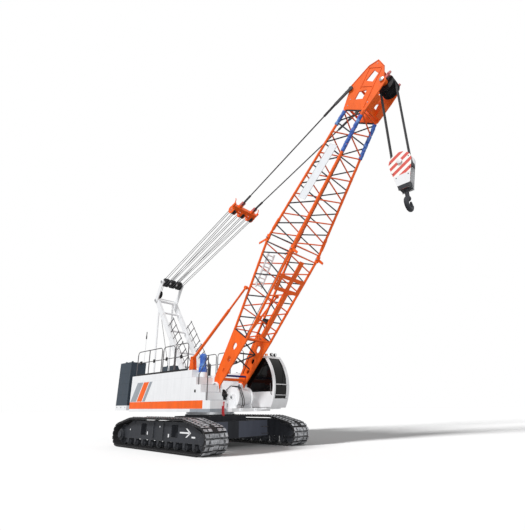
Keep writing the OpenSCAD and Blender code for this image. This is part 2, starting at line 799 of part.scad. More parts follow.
// Backstops
stop_tube_len = stop_len * 0.7;
stop_overlap = stop_len * 0.24;
stop_eye_half = backstop_r * 0.8;
module on_stops() {
    both_sides() translate(stop_foot) rotate([0, -stop_angle, 0]) children();
}
module backstop_posts() {
    cheek = 25;
    half = backstop_r + side_gap;
    color("orangered") both_sides() difference() {
        union() for (y = [stop_foot.y - half - cheek, stop_foot.y + half])
            slab(y, y + cheek) polygon([
                [stop_foot.x - 160, roof_z], [stop_foot.x + 160, roof_z],
                [stop_foot.x + 70, stop_foot.z + 80], [stop_foot.x - 70, stop_foot.z + 80]
            ]);
        axle(stop_foot, 0, house_y, 35 + pin_fit);
    }
}
module backstop_tubes() {
    half = backstop_r + side_gap;
    color("orangered") on_stops() {
        difference() {
            union() {
                rotate([0, 90, 0]) cylinder(h = stop_tube_len, r = backstop_r);
                axle([0, 0, 0], -stop_eye_half, stop_eye_half, 85);
            }
            translate([stop_len * 0.15, 0, 0]) rotate([0, 90, 0]) cylinder(h = stop_len, r = 42 + pin_fit);
        }
        axle([0, 0, 0], -half - 25, half + 25, 35);
    }
}
module backstop_rods() {
    color("orangered") on_stops() {
        translate([stop_tube_len - stop_overlap, 0, 0]) rotate([0, 90, 0])
            cylinder(h = stop_len - stop_tube_len + stop_overlap - 40, r = 42);
        axle([stop_len, 0, 0], -45, 45, 75);
    }
}

// Boom
module base_chords_at(r) {
    for (upper = [-1, 1], left = [-1, 1])
        rod(base_chord(plate_s - 200, upper, left), base_chord(joint_s, upper, left), r);
}
module top_chords_at(r) {
    for (upper = [-1, 1], left = [-1, 1])
        rod(top_chord(joint_s, upper, left), top_chord(head_s + 100, upper, left), r);
}
module boom_base_chords() {
    color("orangered") on_boom() difference() {
        base_chords_at(chord_r);
        block([0, -2 * joint_y, -2 * joint_z], [plate_s, 2 * joint_y, 2 * joint_z]);
        block([joint_s - joint_half, -2 * joint_y, -2 * joint_z], [2 * joint_s, 2 * joint_y, 2 * joint_z]);
    }
}
module boom_top_chords() {
    color("orangered") on_boom() difference() {
        top_chords_at(chord_r);
        block([0, -2 * joint_y, -2 * joint_z], [joint_s + joint_half, 2 * joint_y, 2 * joint_z]);
        block([head_s, -2 * joint_y, -2 * joint_z], [2 * head_s, 2 * joint_y, 2 * joint_z]);
    }
}
module boom_lugs() {
    lug = 75;
    color("orangered") on_boom() for (upper = [-1, 1], left = [-1, 1]) {
        at = [joint_s, left * joint_y, upper * joint_z];
        block(at - [joint_half, lug / 2, lug], at + [joint_half, lug / 2, lug]);
        axle(at, at.y - lug, at.y - lug / 2, 40);
        axle(at, at.y + lug / 2, at.y + lug, 40);
        slab(at.y - 14, at.y + 14) polygon(upper > 0 ? [
            [joint_s - 125, joint_z + 40], [joint_s - 20, joint_z + 40],
            [joint_s - 330, joint_z + 370], [joint_s - 400, joint_z + 330]
        ] : [
            [joint_s - 60, -joint_z - 40], [joint_s + 60, -joint_z - 40],
            [joint_s - 20, -joint_z - 340], [joint_s - 110, -joint_z - 340]
        ]);
    }
    color("orangered") on_boom() both_sides()
        axle([stop_s, 0, base_z(stop_s)], base_y(stop_s) + chord_r + 2, stop_foot.y - 45 - pin_gap, 45);
}
function slope_share(rise) = sqrt(1 + pow(rise, 2));
base_rise_z = (joint_z - foot_half) / joint_s;
top_rise_z = (joint_z - head_top_z) / (head_s - joint_s);
top_rise_y = (joint_y - head_y) / (head_s - joint_s);
low_rise_z = (joint_z + head_low_z) / (head_s - joint_s);
function seat(rise) = (chord_r + fit) * slope_share(rise);
base_s0 = plate_s + 60;
base_s1 = joint_s - joint_half - 60;
top_s0 = joint_s + joint_half + 60;
top_s1 = head_s - 60;
// Zigzag of tubes from one chord to the other over a stretch of the boom
module zigzag(s0, s1, bays, one, other) {
    pitch = (s1 - s0) / (2 * bays);
    split = lacing_r * 1.35;
    for (i = [0 : 2 * bays - 1]) {
        a = s0 + i * pitch + split;
        b = s0 + (i + 1) * pitch - split;
        rod(i % 2 == 0 ? one(a) : other(a), i % 2 == 0 ? other(b) : one(b), lacing_r);
    }
    for (s = [s0 - 30, s1 + 30])
        rod(one(s), other(s), lacing_r * 0.97);
}
module base_side_lacing(left) {
    color("darkslategray") on_boom() intersection() {
        zigzag(base_s0, base_s1, base_bays,
            function(s) base_chord(s, -1, left), function(s) base_chord(s, 1, left));
        slab(-2 * joint_y, 2 * joint_y) polygon([
            [0, seat(base_rise_z) - base_z(0)], [joint_s, seat(base_rise_z) - base_z(joint_s)],
            [joint_s, base_z(joint_s) - seat(base_rise_z)], [0, base_z(0) - seat(base_rise_z)]
        ]);
    }
}
module base_face_lacing(upper) {
    color("orangered") on_boom() intersection() {
        zigzag(base_s0, base_s1, base_bays,
            function(s) base_chord(s, upper, -1), function(s) base_chord(s, upper, 1));
        translate([0, 0, -2 * joint_z]) linear_extrude(4 * joint_z) polygon([
            [plate_s, seat(base_rise_y) - base_y(plate_s)], [joint_s, seat(base_rise_y) - base_y(joint_s)],
            [joint_s, base_y(joint_s) - seat(base_rise_y)], [plate_s, base_y(plate_s) - seat(base_rise_y)]
        ]);
    }
}
module top_side_lacing(left) {
    color("darkslategray") on_boom() intersection() {
        zigzag(top_s0, top_s1, top_bays,
            function(s) top_chord(s, -1, left), function(s) top_chord(s, 1, left));
        slab(-2 * joint_y, 2 * joint_y) polygon([
            [joint_s, top_z(joint_s, -1) + seat(low_rise_z)],
            [head_s, top_z(head_s, -1) + seat(low_rise_z)],
            [head_s, top_z(head_s, 1) - seat(top_rise_z)],
            [joint_s, top_z(joint_s, 1) - seat(top_rise_z)]
        ]);
    }
}
module top_face_lacing(upper) {
    color("orangered") on_boom() intersection() {
        zigzag(top_s0, top_s1, top_bays,
            function(s) top_chord(s, upper, -1), function(s) top_chord(s, upper, 1));
        translate([0, 0, -2 * joint_z]) linear_extrude(4 * joint_z) polygon([
            [joint_s, seat(top_rise_y) - top_y(joint_s)], [head_s, seat(top_rise_y) - top_y(head_s)],
            [head_s, top_y(head_s) - seat(top_rise_y)], [joint_s, top_y(joint_s) - seat(top_rise_y)]
        ]);
    }
}
module boom_base_side_lacing_left() { base_side_lacing(1); }
module boom_base_side_lacing_right() { base_side_lacing(-1); }
module boom_base_rear_lacing() { base_face_lacing(1); }
// Framed plate and middle beam under the front face of the base section
module front_frame() {
    s0 = 4520;
    s1 = 5180;
    border = 150;
    middle = 105;
    plate = 20;
    share = slope_share(base_rise_z);
    function edge(s) = base_y(s) - chord_r - 4;
    on_boom() translate([0, 0, -foot_half]) rotate([0, atan(base_rise_z), 0])
        translate([0, 0, -lacing_r - fit]) {
            translate([0, 0, -plate]) linear_extrude(plate) difference() {
                polygon([
                    [s0 * share, -edge(s0)], [s1 * share, -edge(s1)],
                    [s1 * share, edge(s1)], [s0 * share, edge(s0)]
                ]);
                for (side = [-1, 1])
                    polygon([
                        [(s0 + border) * share, side * middle], [(s1 - border) * share, side * middle],
                        [(s1 - border) * share, side * (edge(s1) - border)],
                        [(s0 + border) * share, side * (edge(s0) - border)]
                    ]);
            }
            block([2560 * share, -middle, -100], [(s0 + 30) * share, middle, -2]);
            block([(s1 - 30) * share, -middle, -60], [5880 * share, middle, -2]);
        }
}
module boom_base_front_lacing() {
    base_face_lacing(-1);
    color("orangered") front_frame();
}
module boom_top_side_lacing_left() { top_side_lacing(1); }
module boom_top_side_lacing_right() { top_side_lacing(-1); }
module boom_top_rear_lacing() { top_face_lacing(1); }
module boom_top_front_lacing() { top_face_lacing(-1); }
// Outline of an oval with its long side along X
function oval(middle, straight, r) = [
    for (side = [1, -1], i = [0 : 8])
        middle + side * [straight / 2 + r * cos(i * 22.5 - 90), r * sin(i * 22.5 - 90)]
];
// Oval holes in a foot plate, each [distance from the foot pin, straight length, radius]
foot_holes = [[700, 60, 62], [1200, 80, 82], [1760, 90, 105]];
module boom_foot() {
    edge = chord_r * 0.8;
    hub_r = 150;
    color("orangered") on_boom() difference() {
        union() {
            both_sides() {
                slab(foot_y - plate_t / 2, foot_y + plate_t / 2) difference() {
                    polygon([
                        [-hub_r * 0.5, -hub_r * 0.8], [plate_s, -base_z(plate_s) - edge],
                        [plate_s, base_z(plate_s) + edge], [hub_r, base_z(hub_r) + edge],
                        [-hub_r * 0.5, hub_r * 0.8]
                    ]);
                    for (hole = foot_holes)
                        polygon(oval([hole[0], 0], hole[1], hole[2]));
                }
                axle([0, 0, 0], foot_y - hub_half, foot_y + hub_half, hub_r);
            }
            for (s = [300, 2150])
                axle([s, 0, 0], -foot_y, foot_y, 60);
        }
        axle([0, 0, 0], -house_y, house_y, foot_pin_r + pin_fit);
    }
}
module boom_head() {
    half_t = 22;
    guard_r = sheave_r + 40;
    low = [[head_s, head_low_z - 90], [sheave_at.x - 380, sheave_at.z - 90]];
    apron = [head_s + 130, head_s + 640];
    function low_edge(s) = low[0].y + (s - low[0].x) * (low[1].y - low[0].y) / (low[1].x - low[0].x);
    color("orangered") on_boom() {
        both_sides() {
            slab(head_y - half_t, head_y + half_t) difference() {
                polygon([
                    each low,
                    [sheave_at.x, sheave_at.z - 170], [sheave_at.x + 170, sheave_at.z],
                    [head_s + 1700, -790], [head_s + 1940, -440], [head_s + 1730, -130],
                    [pendant_at.x + 60, pendant_at.z + 110], [pendant_at.x - 110, pendant_at.z + 60],
                    [head_s, head_top_z + 90]
                ]);
                polygon([
                    [head_s + 1140, -270], [head_s + 1540, -440],
                    [head_s + 1410, -690], [head_s + 1090, -600]
                ]);
                polygon([
                    [head_s + 400, -150], [head_s + 710, -180], [head_s + 780, -520], [head_s + 430, -500]
                ]);
            }
            axle(pendant_at, head_y, stay_y - 22 - pin_gap, 55);
        }
        for (at = [
            [head_s + 120, 0, head_top_z], [head_s + 120, 0, head_low_z],
            [head_s + 900, 0, -60], [head_s + 1780, 0, -440]
        ])
            axle(at, -head_y, head_y, 45);
        for (angle = [20, 85])
            axle(sheave_at + guard_r * [cos(angle), 0, sin(angle)], -head_y, head_y, 18);
        block([head_s + 130, -head_y, head_low_z - 20], [head_s + 350, head_y, head_low_z + 10]);
        both_sides() slab(cheek_y + 30, head_y) polygon([
            [apron[0], low_edge(apron[0]) + 6], [apron[1], low_edge(apron[1]) + 6],
            [apron[1], low_edge(apron[1]) + 26], [apron[0], low_edge(apron[0]) + 26]
        ]);
        axle(sheave_at, -head_y - half_t - 40, head_y + half_t + 40, 70);
        both_sides() for (span = [[cheek_y, spare_y - sheave_half - side_gap],
                                  [spare_y + sheave_half + side_gap, head_y]])
            axle(sheave_at, span[0], span[1], 110);
    }
}
module head_sheaves() {
    color("black") on_boom() for (y = [each reeving * sheave_step, -spare_y, spare_y])
        sheave(sheave_at, y - sheave_half, y + sheave_half, sheave_r, 70 + pin_fit);
}

// Luffing rigging
module bridle() {
    half = 700;
    groups = [-540, 0, 540];
    cheek = 95;
    plate = 26;
    lobe_r = 185;
    neck = 170;
    color("orangered") on_stay() translate([bridle_dist, 0, 0]) {
        block([140, -half, -105], [320, half, 105]);
        for (group = groups) {
            for (y = [group - cheek - plate, group + cheek])
                slab(y, y + plate) {
                    circle(lobe_r);
                    translate([0, -neck]) square([200, 2 * neck]);
                }
            for (y = [group - 80, group + 10])
                sheave([0, 0, 0], y, y + 70, lobe_r - 12, 40);
        }
        axle([0, 0, 0], -groups[2] - cheek - plate - 30, groups[2] + cheek + plate + 30, 50);
        both_sides() {
            block([310, pendant_start_y - 70, -70], [470, pendant_start_y + 70, 70]);
            block([200, half - 5, -50], [430, half + 55, 50]);
        }
    }
}
pendant_start_y = 380;
module pendants() {
    eye_half = 22;
    link = (stay_len - bridle_dist) * 0.11;
    socket_r = pendant_r * 1.8;
    splay = (stay_y - pendant_start_y) / (stay_len - bridle_dist - 470);
    start = [bridle_dist + 470 + socket_r * splay + fit, pendant_start_y, 0];
    end = [stay_len - link + 40, stay_y, 0];
    along = (end - start) / norm(end - start);
    color("dimgray") on_stay() both_sides() {
        rod(start, end, pendant_r);
        rod(start, start + along * link * 0.8, socket_r);
        rod(end - along * link * 0.8, end - along * 30, socket_r);
        slab(stay_y - eye_half, stay_y + eye_half) {
            translate([stay_len, 0]) circle(90);
            translate([stay_len - link, -62]) square([link, 124]);
        }
    }
}

// Hook block
module hoist_falls() {
    color("dimgray") for (x = [-pitch_r, pitch_r], i = reeving)
        translate([block_at.x + x, i * sheave_step, block_at.z]) cylinder(h = fall_len, r = rope_r);
}
module hook_block() {
    color("white") difference() {
        union() {
            both_sides() slab(cheek_y, cheek_y + 30) translate([block_at.x, block_at.z]) polygon([
                for (a = [0 : 15 : 180]) cheek_r * [cos(a), sin(a)] - [0, 20],
                [-190, -960], [-190, -1020], [190, -1020], [190, -960]
            ]);
            axle(block_at, -cheek_y - 70, cheek_y + 70, 70);
            block(block_at + [-170, -cheek_y, -1000], block_at + [170, cheek_y, -760]);
        }
        translate(block_at - [0, 0, 1100]) cylinder(h = 500, r = 65 + pin_fit);
    }
}
module block_sheaves() {
    color("dimgray") for (y = reeving * sheave_step)
        sheave(block_at, y - sheave_half, y + sheave_half, sheave_r, 70 + pin_fit);
}
module hook() {
    bowl_r = 190;
    stock_r = 75;
    sweep = 262;
    bowl_at = block_at - [0, 0, 1100 + hook_len - bowl_r - stock_r];
    color("darkslategray") {
        translate([block_at.x, 0, bowl_at.z + bowl_r])
            cylinder(h = block_at.z - 700 - bowl_at.z - bowl_r, r = 65);
        translate([block_at.x, 0, bowl_at.z + bowl_r]) sphere(stock_r * 1.3);
        translate(block_at - [0, 0, 760 - fit]) cylinder(h = 60, r = 120);
        translate(bowl_at) rotate([0, 0, 90]) rotate([90, 0, 0]) rotate([0, 0, 90]) {
            rotate_extrude(angle = sweep) translate([bowl_r, 0]) circle(stock_r);
            translate(bowl_r * [cos(sweep), sin(sweep), 0]) rotate([0, 0, sweep + 90]) rotate([0, 90, 0])
                translate([0, 0, -10]) cylinder(h = 200, r1 = stock_r * 0.92, r2 = stock_r * 0.4);
        }
    }
}

carbody();
slew_ring();
track_frame_left();
track_frame_right();
track_left();
track_right();
drive_sprockets();
idlers();
lower_rollers();
carrier_rollers();
deck();
counterweight_tray();
counterweight_blocks();
house_right();
house_left();
skirts();
engine_block();
cab_shell();
cab_glass();
cab_seat();
cab_console();
handrail_right();
handrail_left();
gantry_legs();
gantry_links();
gantry_head();
gantry_ladders();
winch_stands();
hoist_drum();
luff_drum();
front_drum();
covered_tank();
backstop_posts();
foot_pins();
tie_down_lugs();
cab_door();
door_glass();
boom_foot();
boom_base_chords();
boom_base_side_lacing_left();
boom_base_side_lacing_right();
boom_base_rear_lacing();
boom_base_front_lacing();
boom_lugs();
boom_top_chords();
boom_top_side_lacing_left();
boom_top_side_lacing_right();
boom_top_rear_lacing();
boom_top_front_lacing();
boom_head();
head_sheaves();
backstop_tubes();
backstop_rods();
gantry_sheaves();
bridle();
pendants();
hoist_falls();
hook_block();
block_sheaves();
hook();
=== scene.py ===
"""Looks of the crawler crane, put on round its solids."""
import json
import math

import bpy
import bmesh
from mathutils import Matrix, Vector, noise


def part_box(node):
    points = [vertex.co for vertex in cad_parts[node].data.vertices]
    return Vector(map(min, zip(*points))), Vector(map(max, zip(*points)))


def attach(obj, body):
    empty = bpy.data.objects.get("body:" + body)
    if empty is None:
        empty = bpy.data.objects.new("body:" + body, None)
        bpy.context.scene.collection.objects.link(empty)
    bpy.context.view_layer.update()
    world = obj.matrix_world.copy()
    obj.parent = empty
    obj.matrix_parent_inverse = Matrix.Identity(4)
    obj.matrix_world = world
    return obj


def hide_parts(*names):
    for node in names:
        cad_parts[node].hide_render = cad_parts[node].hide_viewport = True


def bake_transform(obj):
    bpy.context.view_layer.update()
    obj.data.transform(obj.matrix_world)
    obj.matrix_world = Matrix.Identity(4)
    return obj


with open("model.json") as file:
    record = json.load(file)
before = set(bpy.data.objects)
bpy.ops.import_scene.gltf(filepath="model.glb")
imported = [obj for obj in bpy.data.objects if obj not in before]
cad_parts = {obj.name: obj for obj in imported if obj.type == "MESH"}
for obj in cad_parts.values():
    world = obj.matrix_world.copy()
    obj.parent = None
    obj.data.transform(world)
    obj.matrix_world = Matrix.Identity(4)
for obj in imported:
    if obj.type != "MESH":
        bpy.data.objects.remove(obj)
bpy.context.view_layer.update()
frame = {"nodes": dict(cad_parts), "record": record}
nodes = frame["nodes"]
scene = bpy.context.scene

# Photograph's frame and camera, in metres and degrees
IMAGE_W, IMAGE_H = 525, 530
CAMERA_AT = Vector((12.994, -10.449, 1.483))
CAMERA_YAW = 133.401
CAMERA_PITCH = 21.201
CAMERA_ROLL = -0.569
FOCAL_PX = 363.342
SENSOR_MM = 36.0

# Both sides of the crane, and the four corners of a section
SIDES = (-1, 1)
CORNERS = [(upper, left) for upper in SIDES for left in SIDES]

# Tracks and carbody, in metres like all places below
TRACK_Y = 2.19
FRAME_FACE = 2.4153
SHOES = 80
END_X, END_Z = 2.7, 0.45
CARRIER_X, CARRIER_Z = 1.78, 0.924
END_R, CARRIER_R = 0.379, 0.115
BEAM_X = 1.46

# Upperworks
DECK_TOP = 1.41
DECK_FRONT = 1.966
ROOF = 2.84
HOUSE_Y = 1.6
RAIL_Y = 1.55
REAR = -5.35
DRUMS = {"hoist": (-1.05, 0, 1.93), "luff": (-2.35, 0, 1.93), "front": (1.8, 0, 1.81)}

# Boom: distance along it, then half width and height of its chords
FOOT = Vector((1.19, 0, 2.25))
FOOT_Y = 0.63
BOOM_TILT = math.radians(54.6)
BASE_S, BASE_Y, BASE_Z = 2.3, 0.66, 0.25
JOINT_S, JOINT_Y, JOINT_Z = 6.2, 0.8, 0.72
HEAD_S, HEAD_Y, HEAD_TOP, HEAD_LOW = 11.8, 0.46, 0.09, -0.76

# Gantry, luffing line and hook block
GANTRY = Vector((-3.77, 0, 7.8))
GUIDE = (-4.14, 0, 7.18)
STAY_TILT = math.radians(21.9285)
BRIDLE = 5.96
SHEAVE = Vector((9.490516, 0, 12.238209))
BLOCK = Vector((9.490516, 0, 8.898209))
CHEEK_Y, CHEEK_SKIN = 0.16, 0.168
ROPE_TURN = 0.2943
ROPE_R = 0.0135
FALLS = (-0.084, -0.028, 0.028, 0.084)
GANTRY_FALLS = (-0.455, -0.335, -0.06, 0.06, 0.335, 0.455)
BRIDLE_GROUPS = (-0.54, 0.0, 0.54)
BRIDLE_FALLS = (-0.585, -0.495, -0.045, 0.045, 0.495, 0.585)


def make_camera():
    yaw, pitch, roll = (math.radians(a) for a in (CAMERA_YAW, CAMERA_PITCH, CAMERA_ROLL))
    ahead = Vector((math.cos(yaw) * math.cos(pitch), math.sin(yaw) * math.cos(pitch), math.sin(pitch)))
    right = ahead.cross(Vector((0, 0, 1))).normalized()
    up = right.cross(ahead)
    rolled_right = math.cos(roll) * right + math.sin(roll) * up
    rolled_up = -math.sin(roll) * right + math.cos(roll) * up
    data = bpy.data.cameras.new("camera")
    data.sensor_width = SENSOR_MM
    data.lens = FOCAL_PX * SENSOR_MM / max(IMAGE_W, IMAGE_H)
    data.clip_end = 400
    camera = bpy.data.objects.new("camera", data)
    turn = Matrix((rolled_right, rolled_up, -ahead)).transposed().to_4x4()
    camera.matrix_world = Matrix.Translation(CAMERA_AT) @ turn
    scene.collection.objects.link(camera)
    scene.camera = camera


# Materials, with colours written as they look on screen
def srgb(red, green, blue):
    def linear(value):
        share = value / 255
        return share / 12.92 if share <= 0.04045 else ((share + 0.055) / 1.055) ** 2.4
    return (linear(red), linear(green), linear(blue), 1.0)


def darker(colour, share):
    return tuple(c * share for c in srgb(*colour)[:3]) + (1.0,)


class Nodes:
    """Makes a material, or the world, and adds and links its shader nodes."""

    def __init__(self, name, group=bpy.data.materials):
        self.made = group.new(name)
        self.made.use_nodes = True
        self.tree = self.made.node_tree
        self.shader = self.tree.nodes.get("Principled BSDF")

    def add(self, kind, **values):
        made = self.tree.nodes.new(kind)
        for key, value in values.items():
            if key in made.inputs.keys():
                made.inputs[key].default_value = value
            else:
                setattr(made, key, value)
        return made

    def put(self, value, socket):
        """Sets a socket to a plain value, or links it to another socket."""
        if isinstance(value, (int, float, tuple)):
            socket.default_value = value
        else:
            self.tree.links.new(value, socket)

    def give(self, **values):
        """Feeds the main shader; an underscore stands for a space in the input's name."""
        for key, value in values.items():
            self.put(value, self.shader.inputs[key.replace("_", " ")])

    def place(self):
        return self.add("ShaderNodeTexCoord").outputs["Object"]

    def noise(self, place, **values):
        made = self.add("ShaderNodeTexNoise", **values)
        if place is not None:
            self.put(place, made.inputs["Vector"])
        return made.outputs["Fac"]

    def math(self, operation, *values):
        made = self.add("ShaderNodeMath", operation=operation)
        for socket, value in zip(made.inputs, values):
            self.put(value, socket)
        return made.outputs[0]

    def mix(self, share, first, second):
        made = self.add("ShaderNodeMix", data_type="RGBA")
        for index, value in ((0, share), (6, first), (7, second)):
            self.put(value, made.inputs[index])
        return made.outputs[2]

    def span(self, end, source, low, high):
        made = self.add("ShaderNodeMapRange", **{end + " Min": low, end + " Max": high})
        self.put(source, made.inputs["Value"])
        return made.outputs["Result"]

    def ramp(self, source, low, high):
        return self.span("From", source, low, high)

    def gloss(self, source, low, high):
        self.give(Roughness=self.span("To", source, low, high))

    def bump(self, source, strength, distance):
        made = self.add("ShaderNodeBump", Strength=strength, Distance=distance)
        self.put(source, made.inputs["Height"])
        self.give(Normal=made.outputs["Normal"])


def paint(name, colour, roughness, dirt, metallic=0.0, wear=None, grain=55.0, bump=0.03, coat=0.0):
    """Paint or plain metal with streaks, uneven gloss, fine bump and worn edges."""
    m = Nodes(name)
    place = m.place()
    stretch = m.add("ShaderNodeMapping", Scale=(3.2, 3.2, 0.7))
    m.put(place, stretch.inputs["Vector"])
    streak = m.noise(stretch.outputs[0], Scale=1.6, Detail=6.0, Roughness=0.62)
    fine = m.noise(place, Scale=grain, Detail=4.0)
    base = m.mix(m.ramp(streak, 0.36, 0.62), darker(colour, 1 - dirt), srgb(*colour))
    if wear:
        edge = m.add("ShaderNodeBevel", samples=4, Radius=0.014)
        flat = m.add("ShaderNodeNewGeometry")
        turn = m.add("ShaderNodeVectorMath", operation="DOT_PRODUCT")
        m.put(edge.outputs[0], turn.inputs[0])
        m.put(flat.outputs["Normal"], turn.inputs[1])
        edges = m.ramp(turn.outputs["Value"], 0.985, 0.86)
        base = m.mix(m.math("MULTIPLY", edges, m.ramp(fine, 0.46, 0.6)), base, srgb(*wear))
    m.give(Base_Color=base, Metallic=metallic, Coat_Weight=coat)
    m.give(Specular_IOR_Level=0.5 if metallic or coat else 0.22)
    m.gloss(streak, roughness * 0.8, min(1.0, roughness * 1.35))
    m.bump(fine, bump, 0.01)
    return m.made


def worn_steel(name, bare, coat):
    """Shoe faces: bare steel showing through what is left of the black coat."""
    m = Nodes(name)
    place = m.place()
    patch = m.noise(place, Scale=7.0, Detail=7.0, Roughness=0.7)
    fine = m.noise(place, Scale=60.0, Detail=4.0)
    share = m.ramp(patch, 0.36, 0.56)
    m.give(Base_Color=m.mix(share, srgb(*coat), srgb(*bare)), Metallic=m.math("MULTIPLY", share, 0.2))
    m.give(Roughness=m.ramp(fine, -0.4, 1.5))
    m.bump(patch, 0.25, 0.006)
    return m.made


def striped(name, first, second, period):
    """Slanted stripes on an upright face."""
    m = Nodes(name)
    split = m.add("ShaderNodeSeparateXYZ")
    m.put(m.place(), split.inputs[0])
    along = m.math("SUBTRACT", split.outputs["Z"], m.math("MULTIPLY", split.outputs["X"], 0.55))
    turn = m.math("FRACT", m.math("DIVIDE", along, period))
    m.give(Base_Color=m.mix(m.math("GREATER_THAN", turn, 0.52), srgb(*first), srgb(*second)))
    m.gloss(m.noise(None, Scale=30.0, Detail=4.0), 0.3, 0.5)
    return m.made


def glass(name, colour):
    m = Nodes(name)
    m.give(Base_Color=srgb(*colour), Transmission_Weight=0.08, Specular_IOR_Level=0.16, IOR=1.45)
    m.gloss(m.noise(None, Scale=2.5, Detail=3.0), 0.02, 0.08)
    return m.made


def rope_lay(name, colour):
    """Wire rope, with grease in the lay."""
    m = Nodes(name)
    grease = m.noise(m.place(), Scale=3.0, Detail=4.0)
    m.give(Base_Color=m.mix(grease, darker(colour, 0.8), srgb(*colour)))
    m.give(Metallic=0.1, Specular_IOR_Level=0.2, Roughness=0.6)
    return m.made


def patched(name, first, second):
    """Crumpled sheeting with faded patches."""
    m = Nodes(name)
    place = m.place()
    patch = m.noise(place, Scale=4.5, Detail=5.0, Roughness=0.6)
    crease = m.noise(place, Scale=19.0, Detail=5.0, Roughness=0.65)
    m.give(Base_Color=m.mix(m.ramp(patch, 0.5, 0.68), srgb(*first), srgb(*second)))
    m.bump(crease, 0.7, 0.02)
    m.give(Roughness=m.ramp(crease, -0.6, 1.3))
    return m.made


# Worn edges show these
BARE = (120, 118, 115)
PRIMER = (120, 70, 48)

# The record's material slots come first, then looks for small pieces
LOOKS = {
    "steel_dark": paint("charcoal_paint", (50, 52, 57), 0.55, 0.3, wear=BARE),
    "track_steel": paint("track_black", (36, 36, 38), 0.65, 0.35, wear=BARE),
    "white_paint": paint("white_paint", (231, 232, 234), 0.42, 0.05, wear=(200, 199, 195)),
    "orange_paint": paint("orange_paint", (243, 101, 30), 0.46, 0.14, wear=PRIMER),
    "slate_paint": paint("slate_paint", (54, 64, 74), 0.5, 0.14, wear=BARE),
    "grey_metal": paint("machined_steel", (165, 167, 170), 0.32, 0.15, 0.85),
    "rail_grey": paint("rail_grey", (88, 86, 88), 0.45, 0.18),
    "blue_cover": patched("blue_sheeting", (38, 84, 168), (112, 158, 214)),
    "black_glass": glass("dark_glass", (14, 13, 14)),
    "black_plastic": paint("black_plastic", (24, 24, 26), 0.5, 0.15, bump=0.08),
    "red_paint": paint("red_paint", (186, 36, 44), 0.4, 0.15, wear=BARE),
    "rope": rope_lay("wire_rope", (68, 68, 70)),
    "worn": worn_steel("worn_shoe_face", (178, 180, 184), (92, 94, 98)),
    "stripes": striped("block_stripes", (206, 74, 62), (242, 240, 236), 0.26),
    "grey": paint("grey_paint", (150, 156, 163), 0.4, 0.1),
    "light": paint("light_grey_paint", (208, 208, 210), 0.4, 0.08),
    "line": rope_lay("thin_rope", (92, 92, 95)),
    # Charcoal made lighter for the cross-beams' front faces: painted light, standing in for the lamps on
    # those faces
    "panel": paint("charcoal_painted_lit", (86, 90, 102), 0.5, 0.12, wear=BARE),
    "board": paint("board_paint", (226, 229, 233), 0.45, 0.05),
    "board_edge": paint("board_edge", (168, 170, 174), 0.45, 0.05),
    "seam": paint("seam_grey", (219, 220, 222), 0.5, 0.05),
    "slate_seam": paint("slate_seam", (42, 50, 58), 0.5, 0.05),
    "navy": paint("navy_paint", (24, 44, 110), 0.4, 0.2),
    "amber": paint("amber_lens", (245, 140, 20), 0.15, 0.05, coat=0.6),
    "lens": paint("lamp_lens", (235, 238, 240), 0.08, 0.03, coat=0.8),
    "seat": paint("seat_cloth", (44, 46, 50), 0.85, 0.3, grain=260.0, bump=0.35),
    "pink": paint("faded_red_paint", (206, 120, 118), 0.5, 0.25),
}


# Places on the crane and simple solids
def still(x, y, z):
    return Vector((x, y, z))


def leaning(origin, tilt):
    """Makes a map from (along, across, above) on a leaning member to the crane's frame."""
    along = Vector((math.cos(tilt), 0, math.sin(tilt)))
    up = Vector((-math.sin(tilt), 0, math.cos(tilt)))

    def place(s, y, z):
        return origin + along * s + up * z + Vector((0, y, 0))
    return place


on_boom = leaning(FOOT, BOOM_TILT)
on_stay = leaning(GANTRY, STAY_TILT)
on_block = leaning(BLOCK, 0)
PLACES = {"boom": on_boom, "bridle_set": on_stay, "gantry_sheave_set": on_stay, "hook_block_set": on_block}


def top_chord(s, upper, left):
    share = (s - JOINT_S) / (HEAD_S - JOINT_S)
    end = HEAD_TOP if upper > 0 else HEAD_LOW
    return (s, left * (JOINT_Y + (HEAD_Y - JOINT_Y) * share), upper * JOINT_Z * (1 - share) + end * share)


def base_chord(s, upper, left):
    share = (s - BASE_S) / (JOINT_S - BASE_S)
    rise = BASE_Z + (JOINT_Z - BASE_Z) * s / JOINT_S
    return (s, left * (BASE_Y + (JOINT_Y - BASE_Y) * share), upper * rise)


def spread(side, near, far):
    """Two distances from the middle plane to one side, as the lower and the higher Y."""
    return sorted((side * near, side * far))


def circle(count):
    """Cosine and sine of evenly spaced turns."""
    turns = [2 * math.pi * k / count for k in range(count)]
    return [(math.cos(turn), math.sin(turn)) for turn in turns]


def arc(at, radius, start, end, steps, y):
    """Points round an axis along Y, from one angle to another in degrees."""
    turns = [math.radians(start + (end - start) * i / steps) for i in range(steps + 1)]
    return [(at[0] + radius * math.cos(turn), y, at[2] + radius * math.sin(turn)) for turn in turns]


